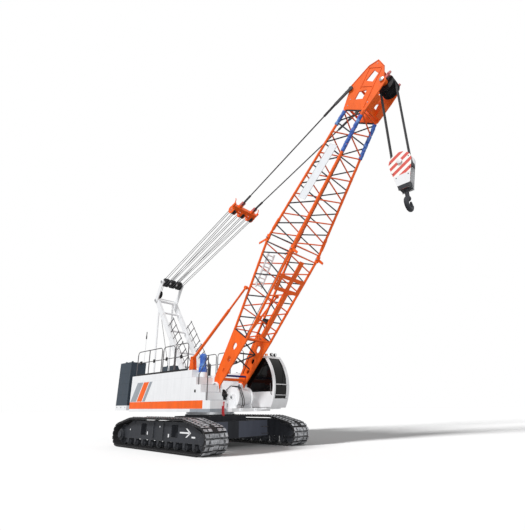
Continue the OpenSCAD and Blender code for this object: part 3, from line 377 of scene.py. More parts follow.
class Shape:
    """Gathers simple solids into one piece of a body; place maps local points to the crane's frame."""

    def __init__(self, body="upperworks", place=None):
        self.bm = bmesh.new()
        self.body = body
        self.place = place or PLACES.get(body, still)

    def point(self, p):
        return self.bm.verts.new(self.place(*p))

    def box(self, low, high):
        corner = [
            self.point((x, y, z))
            for x in (low[0], high[0]) for y in (low[1], high[1]) for z in (low[2], high[2])
        ]
        for face in ((0, 1, 3, 2), (4, 6, 7, 5), (0, 4, 5, 1), (2, 3, 7, 6), (0, 2, 6, 4), (1, 5, 7, 3)):
            self.bm.faces.new([corner[i] for i in face])

    def plate(self, outline, low, high):
        """Outline of (x, z) points, drawn out along Y from low to high."""
        self.rings([[self.point((x, y, z)) for x, z in outline] for y in (low, high)])

    def plate_pair(self, outline, near, far):
        for side in SIDES:
            self.plate(outline, *spread(side, near, far))

    def rings(self, rings, closed=False, open_foot=False):
        for ring in range(len(rings) - (0 if closed else 1)):
            one, other = rings[ring], rings[(ring + 1) % len(rings)]
            for i in range(len(one)):
                j = (i + 1) % len(one)
                self.bm.faces.new((one[i], one[j], other[j], other[i]))
        if not closed:
            self.bm.faces.new(rings[-1])
        if not closed and not open_foot:
            self.bm.faces.new(rings[0][::-1])

    def tube(self, path, radius, sides=10, closed=False, swell=None):
        points = [self.place(*p) for p in path]
        count = len(points)
        across = None
        rings = []
        for i, at in enumerate(points):
            ahead = points[(i + 1) % count] if closed or i + 1 < count else at
            behind = points[i - 1] if closed or i > 0 else at
            along = (ahead - behind).normalized()
            if across is None:
                across = along.orthogonal().normalized()
            across = (across - along * across.dot(along)).normalized()
            other = along.cross(across)
            ring = []
            for k, (c, s) in enumerate(circle(sides)):
                reach = radius * (swell(i, k) if swell else 1)
                ring.append(self.bm.verts.new(at + (across * c + other * s) * reach))
            rings.append(ring)
        self.rings(rings, closed)

    def cross_tube(self, x, z, y0, y1, radius, sides):
        self.tube([(x, y0, z), (x, y1, z)], radius, sides)

    def lathe(self, profile, at, axis, sides=28):
        """Profile of (distance along the axis, radius) pairs turned about an axis."""
        at, axis = Vector(at), Vector(axis).normalized()
        across = axis.orthogonal().normalized()
        other = axis.cross(across)
        rings = []
        for reach, radius in profile:
            middle, size = at + axis * reach, max(radius, 0.0005)
            rings.append([self.point(middle + (across * c + other * s) * size) for c, s in circle(sides)])
        self.rings(rings)

    def cap(self, at, side, radius, flat, height, top, sides):
        """Disc on an upright face, chamfered from the flat edge to the top."""
        self.lathe([(0, radius), (flat, radius), (height, top)], at, (0, side, 0), sides)

    def bolt(self, at, axis, size=0.018):
        washer = [(-0.002, size * 1.45), (size * 0.2, size * 1.45)]
        head = [(size * 0.2, size), (size * 0.85, size), (size * 1.0, size * 0.82)]
        self.lathe(washer, at, axis, 10)
        self.lathe(head, at, axis, 6)

    def side_bolt(self, x, y, z, side, size):
        self.bolt((x, y, z), (0, side, 0), size)

    def bolt_ring(self, at, side, radius, count, size):
        for c, s in circle(count):
            self.side_bolt(at[0] + radius * c, at[1], at[2] + radius * s, side, size)

    def done(self, name, slot, look=None, bevel=0.0, angle=35):
        bm = self.bm
        bmesh.ops.recalc_face_normals(bm, faces=bm.faces)
        if bevel:
            sharp = [e for e in bm.edges if len(e.link_faces) == 2 and e.calc_face_angle() > 0.6]
            bmesh.ops.bevel(bm, geom=sharp, offset=bevel, segments=2, affect="EDGES", clamp_overlap=True)
        mesh = bpy.data.meshes.new(name)
        bm.to_mesh(mesh)
        bm.free()
        mesh.polygons.foreach_set("use_smooth", [True] * len(mesh.polygons))
        mesh.set_sharp_from_angle(angle=math.radians(angle))
        mesh.materials.append(LOOKS[look or slot])
        piece = bpy.data.objects.new(name, mesh)
        scene.collection.objects.link(piece)
        if self.body:
            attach(piece, self.body)
        return piece


def mark_faces(node, look, test):
    """Gives the faces of a CAD node that pass the test another material."""
    mesh = nodes[node].data
    mesh.materials.append(LOOKS[look])
    index = len(mesh.materials) - 1
    for face in mesh.polygons:
        if test(face.center, face.normal):
            face.material_index = index


def dress_nodes():
    for subpart in frame["record"]["subparts"]:
        mesh = nodes[subpart["node"]].data
        mesh.materials.clear()
        mesh.materials.append(LOOKS[subpart["material_slot"]])
    stay = on_stay(1, 0, 0) - GANTRY
    lamp_z, lamp_y = 3.435, 1.06

    def shoe_face(centre, normal):
        middle = Vector((max(-END_X, min(END_X, centre.x)), centre.y, 0.5))
        return abs(normal.y) < 0.3 and (centre - middle).dot(normal) > 0.38

    def cheek(centre, normal):
        return abs(normal.y) > 0.9 and abs(centre.y) > 0.15 and centre.z > BLOCK.z - 1.1

    def guide_wheel(centre, normal):
        return math.hypot(centre.x - GUIDE[0], centre.z - GUIDE[2]) < 0.21 and -0.53 < centre.y < -0.42

    def bridle_wheels(centre, normal):
        gap = min(abs(centre.y - y) for y in BRIDLE_GROUPS)
        return (centre - GANTRY).dot(stay) < BRIDLE + 0.12 and gap < 0.092

    for side in ("left", "right"):
        mark_faces("track_" + side, "worn", shoe_face)
    # Hook block faces that don't face along Y in dark charcoal: partly its dark steel and sheaves, partly
    # painted shade on its edges and sides
    mark_faces("hook_block", "steel_dark", lambda c, n: abs(n.y) < 0.5)
    mark_faces("hook_block", "stripes", cheek)
    mark_faces("bridle", "black_plastic", bridle_wheels)
    mark_faces("gantry_head", "black_plastic", guide_wheel)
    mark_faces("tie_down_lugs", "white_paint", lambda c, n: True)
    mark_faces("cab_shell", "amber", lambda c, n: c.z > lamp_z and c.y < lamp_y)
    mark_faces("cab_shell", "black_plastic", lambda c, n: c.z > lamp_z and c.y > lamp_y)


# Undercarriage
def belt_marks(count):
    """Points and outward directions at even steps along the belt of track shoes."""
    circles = [(END_X, END_Z, END_R), (CARRIER_X, CARRIER_Z, CARRIER_R),
               (-CARRIER_X, CARRIER_Z, CARRIER_R), (-END_X, END_Z, END_R)]

    def tangent(a, b):
        gap = (b[0] - a[0], b[1] - a[1])
        return math.atan2(gap[1], gap[0]) - math.acos((a[2] - b[2]) / math.hypot(*gap))

    runs = []
    for i in range(4):
        before, here, after = circles[i - 1], circles[i], circles[(i + 1) % 4]
        start, end = tangent(before, here), tangent(here, after)
        sweep = (end - start) % (2 * math.pi)
        line = math.sqrt(math.dist(here[:2], after[:2]) ** 2 - (here[2] - after[2]) ** 2)
        runs.append((here, after, start, sweep, here[2] * sweep, line))
    total = sum(run[4] + run[5] for run in runs)
    found = []
    for k in range(count):
        s = total * k / count
        for here, after, start, sweep, bend, line in runs:
            if s <= bend:
                angle = start + s / here[2]
                centre = here
                break
            if s <= bend + line:
                angle = start + sweep
                share = (s - bend) / line
                centre = tuple(a + (b - a) * share for a, b in zip(here, after))
                break
            s -= bend + line
        out = (math.cos(angle), math.sin(angle))
        found.append(((centre[0] + out[0] * centre[2], centre[1] + out[1] * centre[2]), out))
    return found


def track_details():
    marks = belt_marks(SHOES)
    middles = belt_marks(2 * SHOES)[1::2]
    rollers = [4.394 * (i / 8 - 0.5) for i in range(9)]
    arrow = (
        [(1.385, 0.625), (1.98, 0.625), (1.98, 0.675), (1.385, 0.675)],
        [(1.72, 0.51), (1.8, 0.51), (2.03, 0.65), (1.95, 0.65)],
        [(1.95, 0.65), (2.03, 0.65), (1.8, 0.79), (1.72, 0.79)],
    )
    # Small blank marks: place, width and height
    specks = ((-2.1, 0.62, 0.05, 0.05), (-0.76, 0.5, 0.06, 0.11), (0.09, 0.78, 0.06, 0.05),
              (0.69, 0.47, 0.07, 0.11), (2.17, 0.5, 0.2, 0.05))
    for side, name in ((-1, "right"), (1, "left")):
        middle = side * TRACK_Y
        pins = Shape("undercarriage")
        for (x, z), out in marks:
            pins.cross_tube(x + out[0] * 0.013, z + out[1] * 0.013, middle - 0.43, middle + 0.43, 0.015, 8)
        pins.done("track_pins_" + name, "track_steel")
        grooves = Shape("undercarriage")
        for (x, z), out in middles:
            if out[1] < -0.5:
                continue
            x, z = x + out[0] * 0.072, z + out[1] * 0.072
            for y in (middle - 0.31, middle + 0.31):
                ends = [(x - out[1] * along, y, z + out[0] * along) for along in (-0.045, 0.045)]
                grooves.tube(ends, 0.018, 6)
        grooves.done("shoe_grooves_" + name, "track_steel")
        face = side * FRAME_FACE
        bolts = Shape("undercarriage")
        for end, reach in ((-END_X, 0.09), (END_X, 0.045)):
            bolts.bolt_ring((end, face + side * reach, END_Z), side, 0.168, 12, 0.014)
        for x in rollers:
            bolts.cap((x, face, 0.196), side, 0.04, 0.018, 0.026, 0.03, 16)
            for step in (-0.045, 0.045):
                bolts.side_bolt(x + step, face, 0.27, side, 0.009)
        for x in (-CARRIER_X, CARRIER_X):
            bolts.cap((x, face, CARRIER_Z), side, 0.055, 0.02, 0.03, 0.04, 18)
        for x in (-2.2, -0.6, 0.6):
            for z in (0.48, 0.86):
                bolts.side_bolt(x, face, z, side, 0.013)
        bolts.done("frame_bolts_" + name, "steel_dark")
        painted = Shape("undercarriage")
        skin = spread(side, FRAME_FACE, FRAME_FACE + 0.004)
        for outline in arrow:
            painted.plate(outline, *skin)
        for x, z, w, h in specks:
            painted.box((x - w / 2, skin[0], z), (x + w / 2, skin[1], z + h))
        painted.done("frame_marks_" + name, "white_paint")
        hose = Shape("undercarriage")
        for step in range(3):
            y = side * (1.62 - 0.05 * step)
            hose.tube([(-1.3 + 0.06 * step, side * 1.2, 0.97), (-1.55, side * 1.35, 1.0), (-1.9, y, 0.92),
                       (-2.3, y, 0.62), (-2.62, side * 1.7, 0.5)], 0.018, 8)
        hose.done("travel_hoses_" + name, "black_plastic")


def carbody_details():
    ring = Shape("undercarriage")
    for c, s in circle(40):
        ring.bolt((1.012 * c, 1.012 * s, 1.18), (0, 0, 1), 0.016)
    ring.done("ring_bolts", "grey_metal")
    teeth = Shape("undercarriage")
    for c, s in circle(110):
        teeth.place = lambda x, y, z: Vector((x * c - y * s, x * s + y * c, z))
        teeth.box((0.976, -0.014, 1.215), (1.0, 0.014, 1.268))
    teeth.done("ring_teeth", "grey_metal", bevel=0.003)
    # Thin skins on the cross-beams' front faces carry the lighter charcoal, as painted light on the lit
    # faces
    painted_lit_skins = Shape("undercarriage")
    rungs = Shape("undercarriage")
    step = ((0, 1.58), (0.12, 1.58), (0.15, 1.61), (0.15, 1.85), (0.12, 1.88), (0, 1.88))
    for end, side in CORNERS:
        low, high = spread(end, BEAM_X, BEAM_X + 0.006)
        y0, y1 = spread(side, 0.29, 1.94)
        painted_lit_skins.box((low, y0, 0.335), (high, y1, 0.93))
        for z in (0.42, 0.68):
            rungs.tube([(end * (BEAM_X + x), side * y, z) for x, y in step], 0.014, 8)
    painted_lit_skins.done("beam_painted_lit_skins", "steel_dark", "panel", bevel=0.002)
    rungs.done("beam_rungs", "rail_grey")


# Houses, deck and counterweight
def seam_lines(shape, side, columns, low, high):
    y0, y1 = spread(side, HOUSE_Y, HOUSE_Y + 0.002)
    for x in columns:
        shape.box((x - 0.004, y0, low), (x + 0.004, y1, high))


def house_details():
    face = -HOUSE_Y
    seams = Shape()
    seam_lines(seams, -1, (-2.95, -1.95, -0.95, 0.05, 0.72), 1.71, 2.8)
    seams.box((-3.96, face - 0.002, 2.56), (0.72, face, 2.566))
    seam_lines(seams, 1, (-3.42, -2.42, -2.27, -1.27, -1.12, -0.12, 0.6), 1.75, 2.78)
    seams.done("panel_seams", "white_paint", "seam")
    low, high, lean = 1.715, 2.53, 0.5
    grey, orange = Shape(), Shape()
    for shape, x, w in ((grey, -3.92, 0.5), (grey, -2.86, 0.22), (orange, -3.36, 0.44)):
        shape.plate([(x, low), (x + w, low), (x + w + lean, high), (x + lean, high)], face - 0.003, face)
    grey.done("grey_bands", "slate_paint", "grey")
    orange.done("orange_band", "orange_paint")
    latches = Shape()
    latches.box((0.97, face - 0.012, 1.99), (1.06, face, 2.09))
    for x in (-2.35, -1.2, -0.05):
        latches.box((x - 0.045, HOUSE_Y, 2.1), (x + 0.045, HOUSE_Y + 0.018, 2.14))
    latches.done("door_latches", "black_plastic", bevel=0.003)
    strip = Shape()
    for side, end in ((-1, 0.37), (1, 0.95)):
        y0, y1 = spread(side, HOUSE_Y - 0.03, HOUSE_Y)
        strip.box((-3.5, y0, ROOF), (end, y1, ROOF + 0.075))
    strip.done("roof_edge_strip", "black_plastic", bevel=0.004)
    treads = Shape()
    for i in range(4):
        x, z = 1.96 - 0.3 * i, 1.696 + 0.286 * i
        treads.box((x - 0.27, -1.52, z), (x - 0.015, -0.87, z + 0.006))
        for k in range(5):
            rib = x - 0.25 + 0.05 * k
            treads.box((rib, -1.5, z + 0.006), (rib + 0.015, -0.89, z + 0.011))
    treads.box((-3.7, -1.46, ROOF), (0.7, -0.95, ROOF + 0.004))
    for k in range(40):
        rib = -3.66 + 0.108 * k
        treads.box((rib, -1.44, ROOF + 0.004), (rib + 0.03, -0.97, ROOF + 0.008))
    treads.done("tread_plates", "rail_grey", "grey")
    sill = Shape()
    sill.box((0.75, face - 0.006, 1.292), (DECK_FRONT, face, 1.405))
    sill.box((DECK_FRONT - 0.006, face, 1.292), (DECK_FRONT, -0.81, 1.405))
    sill.done("front_sill", "slate_paint", "grey", bevel=0.002)
    stack = Shape()
    y = 1.2
    stack.lathe([(0, 0.1), (0.02, 0.1), (0.03, 0.075), (0.5, 0.075), (0.51, 0.085), (0.53, 0.085),
                 (0.53, 0.06), (0.3, 0.06)], (-1.7, y, ROOF), (0, 0, 1), 24)
    flap = [(0, 0.012), (0.012, 0.1), (0.016, 0.1), (0.02, 0.01)]
    stack.lathe(flap, (-1.74, y, ROOF + 0.56), (-0.35, 0, 1), 24)
    stack.tube([(-1.79, y, ROOF + 0.5), (-1.83, y, ROOF + 0.55), (-1.78, y, ROOF + 0.585)], 0.008, 6)
    stack.done("exhaust_stack", "steel_dark")
    eyes = Shape()
    for y in (-1.2, 1.2):
        for x in (-3.6, 0.3):
            eyes.tube(arc((x, 0, ROOF + 0.03), 0.05, 0, 180, 10, y), 0.012, 8)
    eyes.done("lifting_eyes", "rail_grey")


def rail_details():
    clamps = Shape()
    feet = Shape()
    foot = [(0, 0.042), (0.012, 0.042), (0.016, 0.03), (0.06, 0.027)]
    z = ROOF + 1.11 * 0.53
    for y in (-RAIL_Y, RAIL_Y):
        for x in (-3.38, -2.25, -1.23, -0.13):
            clamps.box((x - 0.055, y - 0.026, z - 0.075), (x + 0.055, y + 0.026, z + 0.075))
        for x in (-3.72, -2.68, -1.61, -1.5, -0.62, -0.54, 0.36):
            feet.lathe(foot, (x, y, ROOF), (0, 0, 1), 14)
    clamps.done("rail_clamps", "black_plastic", bevel=0.008)
    feet.done("rail_feet", "rail_grey")


def weight_details():
    seams = Shape()
    bolts = Shape()
    for side in SIDES:
        flank = spread(side, HOUSE_Y, HOUSE_Y + 0.002)
        back = spread(side, 0.813, HOUSE_Y)
        for i in range(1, 4):
            z = 1.56 + 1.99 * i / 4
            seams.box((REAR, flank[0], z - 0.006), (-4.25, flank[1], z + 0.006))
            seams.box((REAR - 0.002, back[0], z - 0.006), (REAR, back[1], z + 0.006))
        for x in (-5.2, -4.8, -4.4):
            bolts.side_bolt(x, side * HOUSE_Y, 1.485, side, 0.02)
    seams.done("weight_seams", "slate_paint", "slate_seam")
    pole = Shape()
    x, y, z = -4.32, -0.906, 4.75
    pole.tube([(x, y, 3.54), (x, y, z)], 0.014, 8)
    pole.done("mast_pole", "white_paint")
    tip = Shape()
    tip.lathe([(0, 0.016), (0.02, 0.03), (0.16, 0.03), (0.18, 0.02), (0.36, 0.02), (0.37, 0.008)],
              (x, y, z), (0, 0, 1), 12)
    tip.done("mast_tip", "black_plastic")
    bolts.done("tray_bolts", "grey_metal")


def deck_details():
    filters = Shape()
    for y in (-0.53, -0.36):
        filters.lathe([(0, 0.05), (0.012, 0.066), (0.3, 0.066), (0.31, 0.074), (0.36, 0.074), (0.37, 0.03)],
                      (1.5, y, 1.86), (-0.82, 0, 0.57), 20)
    filters.box((1.28, -0.62, DECK_TOP), (1.4, -0.27, 1.86))
    filters.done("front_filters", "black_plastic", bevel=0.004)
    hoses = Shape()
    for y, drop in ((-0.3, 0), (-0.21, 0.03)):
        hoses.tube([(2.2, y, 1.43), (2.27, y + 0.02, 1.55), (2.22, y + 0.05, 1.75),
                    (2.02, y + 0.04, 2.2 - drop), (1.6, y, 2.24 - drop),
                    (1.1, y, 1.95), (0.7, y, 1.5)], 0.016, 8)
    hoses.done("front_hoses", "black_plastic")
    valve = Shape()
    valve_top = 1.78
    spool = [(0, 0.035), (0.09, 0.035), (0.1, 0.02), (0.16, 0.02)]
    valve.box((0.1, -0.32, DECK_TOP), (0.55, 0.32, valve_top))
    for k in range(6):
        y = -0.27 + 0.108 * k
        valve.lathe(spool, (0.32, y, valve_top), (0, 0, 1), 14)
        valve.box((0.55, y - 0.03, 1.5), (0.6, y + 0.03, 1.7))
    valve.done("valve_block", "grey_metal", bevel=0.005)
    pins = Shape()
    x, y = 2.02, -1.0
    pins.box((DECK_FRONT, y - 0.05, 1.2), (1.99, y + 0.05, 1.5))
    pins.box((1.99, y - 0.012, 1.22), (2.05, y + 0.012, 1.42))
    pin = [(0, 0.02), (0.3, 0.02), (0.31, 0.032), (0.34, 0.032), (0.35, 0.015)]
    pins.lathe(pin, (x, y, 1.3), (0, 0, 1), 14)
    pins.tube(arc((x, 0, 1.21), 0.045, -200, 20, 14, y), 0.016, 8)
    pins.done("tie_pins", "red_paint", bevel=0.003)
    caps = Shape()
    for side in SIDES:
        for y, out in ((side * 0.547, -side), (side * 0.773, side)):
            caps.cap((FOOT.x, y, FOOT.z), out, 0.1, 0.02, 0.03, 0.09, 24)
            caps.bolt_ring((FOOT.x, y + out * 0.028, FOOT.z), out, 0.08, 6, 0.008)
    caps.done("foot_pin_caps", "grey_metal")


# Winches
def winding(half, rope, depth):
    """Profile of two layers of rope on a drum; depth says how far the turns stand out."""
    inner, layers = 0.25, 2
    profile = [(-half, 0.02)]
    for k in range(int(half / rope)):
        middle = -half + rope * (2 * k + 1)
        for step in (-0.8, 0, 0.8):
            rise = rope * (1 - depth + depth * math.sqrt(1 - step * step))
            profile.append((middle + step * rope, inner + 2 * rope * (layers - 1) + rope + rise))
    return profile + [(half, 0.02)]


def winch_details():
    for name, at in DRUMS.items():
        body = name + "_winch"
        bare = name == "front"
        rope = Shape(body)
        rope.lathe(winding(0.345, 0.013, 0.25 if bare else 1.0), at, (0, 1, 0), 40)
        rope.done(name + "_rope", "rope", "light" if bare else None, angle=50)
        caps = Shape(body)
        bolts = Shape()
        for side in SIDES:
            caps.cap((at[0], side * 0.44, at[2]), side, 0.055, 0.014, 0.02, 0.045, 18)
            for dx, dz in CORNERS:
                bolts.side_bolt(at[0] + 0.08 * dx, side * 0.438, at[2] + 0.08 * dz, side, 0.01)
        caps.done(name + "_drum_caps", "grey_metal")
        bolts.done(name + "_bearing_bolts", "grey_metal")


# Cab
def cab_details():
    near, mid, far, rear = 0.805, 1.26, 1.715, 1.3
    frame_w = 0.085
    sill, top = 2.03, 3.34
    bow_x, bow_z, bow_r = 1.24, 2.27, 1.7

    def front(z, inset=0.0):
        return bow_x + math.sqrt((bow_r - inset) ** 2 - (z - bow_z) ** 2)

    def levels(low, high):
        return [low + (high - low) * i / 12 for i in range(13)]

    pane = levels(1.76, 3.32)
    trim = Shape()
    edge = [(1.39, near - 0.002, top), (1.39, near - 0.002, sill)]
    edge += [(front(z, 0.105), near - 0.002, z) for z in levels(sill, top)]
    trim.tube(edge, 0.012, 6, closed=True)
    edge = [(front(z, 0.008), near + frame_w, z) for z in pane]
    edge += [(front(z, 0.008), far - frame_w, z) for z in pane[::-1]]
    trim.tube(edge, 0.012, 6, closed=True)
    trim.box((rear, near - 0.004, 1.425), (2.7, near, 1.44))
    trim.box((2.4, far, 2.05), (2.62, far + 0.003, 2.06))
    trim.done("cab_seals", "black_plastic")
    bars = Shape()
    for z, size in ((1.885, 0.014), (2.285, 0.02)):
        ends = ((0.01, near + 0.1), (0.016, mid), (0.01, far - 0.1))
        bars.tube([(front(z) + out, y, z) for out, y in ends], size, 8)
    bars.done("window_bars", "white_paint", "light")
    pillar = Shape()
    outline = [(front(z) + 0.004, z) for z in pane] + [(front(z) - 0.012, z) for z in pane[::-1]]
    pillar.plate(outline, 1.54, far - 0.06)
    pillar.done("front_pillar", "white_paint")
    wiper = Shape()
    arm = ((0.02, mid, 2.25), (0.022, 1.4, 2.6), (0.022, 1.5, 2.9))
    wiper.tube([(front(z) + out, y, z) for out, y, z in arm], 0.008, 6)
    blade = (2.5, 2.7, 2.9, 3.1, 3.25)
    wiper.tube([(front(z) + 0.008, 1.5 - 0.06 * (z - 2.9), z) for z in blade], 0.008, 6)
    wiper.lathe([(0, 0.035), (0.03, 0.03)], (front(2.25), mid, 2.25), (1, 0, 0), 14)
    wiper.done("cab_wiper", "black_plastic")
    rails = Shape()
    y = near - 0.055
    rails.tube([(2.78, near, 1.9), (2.79, y, 1.93), (2.76, y, 2.3), (2.74, near, 2.33)], 0.012, 8)
    y = far + 0.06
    rails.tube([(2.55, far, 1.9), (2.55, y, 1.93), (2.5, y, 2.7), (2.5, far, 2.73)], 0.012, 8)
    roof_rail = ((1.34, 3.42), (1.34, 3.5), (1.4, 3.52), (2.1, 3.52), (2.16, 3.5), (2.16, 3.42))
    for y in (near + 0.03, far - 0.03):
        rails.tube([(x, y, z) for x, z in roof_rail], 0.012, 8)
    rails.done("cab_grab_rails", "rail_grey")
    lens = Shape()
    dome = [(0, 0.055), (0.006, 0.052), (0.012, 0.035), (0.015, 0.005)]
    for y in (near + 0.42, near + 0.65):
        lens.lathe(dome, (2.47, y, 3.515), (1, 0, 0), 20)
    lens.done("lamp_lenses", "white_paint", "lens")
    handle = Shape("door")
    handle.box((2.2, far, 2.35), (2.27, far + 0.012, 2.5))
    grip = ((0.01, 2.48), (0.04, 2.46), (0.04, 2.39), (0.01, 2.37))
    handle.tube([(2.215, far + out, z) for out, z in grip], 0.008, 8)
    handle.done("door_handle", "black_plastic")
    seals = Shape("door")
    window = ((1.49, 2.01), (2.23, 2.01), (2.23, 3.22), (1.49, 3.22))
    seals.tube([(x, far, z) for x, z in window], 0.009, 6, closed=True)
    seals.done("door_seal", "black_plastic")
    desk = Shape()
    desk.box((2.32, 0.93, 2.26), (2.6, 1.21, 2.3))
    desk.plate([(2.46, 2.3), (2.56, 2.34), (2.52, 2.6), (2.49, 2.6)], 0.95, 1.19)
    lever = [(0, 0.04), (0.05, 0.02), (0.06, 0.012), (0.2, 0.012),
             (0.21, 0.026), (0.3, 0.024), (0.31, 0.01)]
    for at in ((2.37, 1.05, 2.3), (2.05, 1.5, 2.05)):
        desk.lathe(lever, at, (0, 0, 1), 14)
    desk.box((1.75, 1.47, 1.86), (2.15, 1.57, 2.05))
    desk.done("cab_controls", "black_plastic", bevel=0.006)


def cushion(low, high, crown):
    """Crowned pad: a fine box whose faces swell and whose edges round off."""
    shape = Shape()
    size = [h - l for l, h in zip(low, high)]
    shape.box(low, high)
    bmesh.ops.subdivide_edges(shape.bm, edges=shape.bm.edges[:], cuts=7, use_grid_fill=True)
    middle = (Vector(low) + Vector(high)) / 2
    for v in shape.bm.verts:
        share = [2 * (v.co[i] - middle[i]) / size[i] for i in range(3)]
        for i in range(3):
            others = [abs(share[j]) for j in range(3) if j != i]
            full = (1 - others[0] ** 2) * (1 - others[1] ** 2)
            pull = crown * full - 0.35 * crown * max(others) ** 6
            v.co[i] += math.copysign(pull, share[i]) * abs(share[i]) ** 3
    return shape


def cab_seat():
    x, y = 1.63, 1.26
    pieces = []
    for name, low, high, crown in (
        ("seat_cushion", (x + 0.02, y - 0.24, 1.87), (x + 0.49, y + 0.24, 1.97), 0.018),
        ("seat_back", (x - 0.09, y - 0.23, 1.98), (x + 0.01, y + 0.23, 2.56), 0.016),
    ):
        pad = cushion(low, high, crown).done(name, "black_plastic", "seat", angle=60)
        pieces.append(pad)
    base = Shape()
    base.box((x + 0.06, y - 0.15, 1.465), (x + 0.36, y + 0.15, 1.82))
    base.box((x + 0.03, y - 0.22, 1.82), (x + 0.47, y + 0.22, 1.865))
    bracket = ((0.06, 1.83), (0.02, 1.83), (-0.1, 2.1), (-0.1, 2.5), (-0.085, 2.5), (-0.08, 2.12))
    base.plate([(x + out, z) for out, z in bracket], y - 0.03, y + 0.03)
    pieces.append(base.done("seat_base", "black_plastic", bevel=0.008))
    for piece in pieces:
        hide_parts("cab_seat")


# Gantry and luffing ropes
def gantry_details():
    leg_y = 0.54
    foot, elbow = Vector((-0.34, 0, 1.56)), Vector((-4.22, 0, 6.85))
    along = (elbow - foot).normalized()
    out = Vector((along.z, 0, -along.x))
    pins = Shape()
    weld = Shape()
    for side in SIDES:
        for at, y in ((foot, 0.6353), (elbow, 0.6853), (GANTRY, 0.6853)):
            pins.cap((at.x, side * y, at.z), side, 0.07, 0.014, 0.022, 0.055, 20)
            pins.bolt_ring((at.x, side * (y + 0.02), at.z), side, 0.045, 5, 0.006)
        for share in (0.08, 0.33, 0.58, 0.82):
            at = foot + (elbow - foot) * share + Vector((0, side * leg_y, 0))
            section = ((0.132, 0.067), (0.132, -0.067), (-0.132, -0.067), (-0.132, 0.067))
            weld.tube([at + out * a + Vector((0, b, 0)) for a, b in section], 0.008, 6, closed=True)
    pins.done("gantry_pin_caps", "grey_metal")
    weld.done("leg_weld_bands", "white_paint")
    rope = Shape()
    drum = DRUMS["luff"]
    y = -0.475
    path = [(drum[0] - 0.24, -0.28, drum[2] + 0.17), (GUIDE[0] - 0.17, y, GUIDE[2] - 0.02)]
    path += arc(GUIDE, 0.172, 170, 40, 8, y)
    rope.tube(path + [(-3.9, -0.46, 7.62)], 0.011, 8)
    rope.done("luff_line", "rope")


def luffing_ropes():
    gantry_turn, bridle_turn = 0.205, 0.148
    near = Shape("gantry_sheave_set")
    far = Shape("bridle_set")
    falls = Shape(None, on_stay)
    for here, there in zip(GANTRY_FALLS, BRIDLE_FALLS):
        near.tube(arc((0, 0, 0), gantry_turn, 85, 275, 18, here), ROPE_R, 8)
        far.tube(arc((BRIDLE, 0, 0), bridle_turn, 95, -95, 18, there), ROPE_R, 8)
        for side in SIDES:
            start = Vector((0, here, side * gantry_turn))
            end = Vector((BRIDLE, there, side * bridle_turn))
            falls.tube([start.lerp(end, i / 12) for i in range(13)], ROPE_R, 8)
    near.done("gantry_rope_turns", "rope", "line")
    far.done("bridle_rope_turns", "rope", "line")
    piece = falls.done("luffing_falls", "rope", "line")
    start, end = on_stay(0.3, 0, 0), on_stay(BRIDLE - 0.3, 0, 0)
    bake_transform(piece)


def bridle_details():
    bolts = Shape("bridle_set")
    clevis = Shape("bridle_set")
    horns = Shape("bridle_set")
    for y in BRIDLE_GROUPS:
        for side in SIDES:
            bolts.cap((BRIDLE, y + side * 0.121, 0), side, 0.07, 0.012, 0.018, 0.055, 18)
    for y in (-0.6, -0.2, 0.2, 0.6):
        for z in (-0.05, 0.05):
            bolts.bolt((BRIDLE + 0.32, y, z), (1, 0, 0), 0.014)
    tongue = ((0.42, -0.06), (0.62, -0.06), (0.66, 0), (0.62, 0.06), (0.42, 0.06))
    horn = ((0.3, 0.0), (0.42, 0.05), (0.5, 0.13), (0.52, 0.2))
    for side in SIDES:
        y = side * 0.38
        for step in (-0.078, 0.06):
            clevis.plate([(BRIDLE + d, z) for d, z in tongue], y + step, y + step + 0.018)
        clevis.cross_tube(BRIDLE + 0.57, 0, y - 0.1, y + 0.1, 0.028, 12)
        horns.tube([(BRIDLE + d, side * 0.735, z) for d, z in horn], 0.022, 10)
    bolts.done("bridle_bolts", "grey_metal")
    clevis.done("pendant_clevises", "red_paint", "pink", bevel=0.003)
    horns.done("bridle_horns", "orange_paint")


# Boom
def chord_wraps():
    """Blue sheeting wound round three chords below the head, tied at every ninth step."""
    wraps = Shape("boom")
    for upper, left, start, end in ((-1, -1, 10.15, 11.6), (-1, 1, 10.35, 11.74), (1, -1, 11.15, 11.74)):
        steps = int((end - start) / 0.035)
        seed = start * 7 + left

        def swell(i, k):
            rough = noise.noise(Vector((i * 0.42, k * 0.55, seed)))
            lump = noise.noise(Vector((i * 0.11, k * 0.2, seed + 5)))
            fold = 0.06 * math.sin(i * 0.9 + k * 0.5)
            tie = 0.16 if i % 9 == 0 else 0.0
            return 1 + 0.34 * rough + 0.12 * lump + fold - tie

        path = [top_chord(start + (end - start) * i / steps, upper, left) for i in range(steps + 1)]
        wraps.tube(path, 0.07, 20, swell=swell)
    wraps.done("chord_wraps", "blue_cover", angle=70)


def blank_board():
    board = Shape("boom")
    edges = Shape("boom")
    ends = [Vector((s, -top_chord(s, 1, 1)[1] - 0.034, z)) for s, z in ((8.08, -0.01), (10.35, -0.25))]
    lift = Vector((0.02, 0, 0.19))
    back = [ends[0] - lift, ends[0] + lift, ends[1] + lift, ends[1] - lift]
    face = [p - Vector((0, 0.012, 0)) for p in back]
    board.rings([[board.point(p) for p in row] for row in (back, face)])
    edges.tube(face, 0.008, 6, closed=True)
    for share in (0.06, 0.35, 0.65, 0.94):
        at = ends[0].lerp(ends[1], share)
        for dz in (-0.15, 0.15):
            edges.cross_tube(at.x, at.z + dz, at.y + 0.03, at.y - 0.016, 0.012, 8)
    board.done("blank_boards", "white_paint", "board")
    edges.done("board_frames", "white_paint", "board_edge")


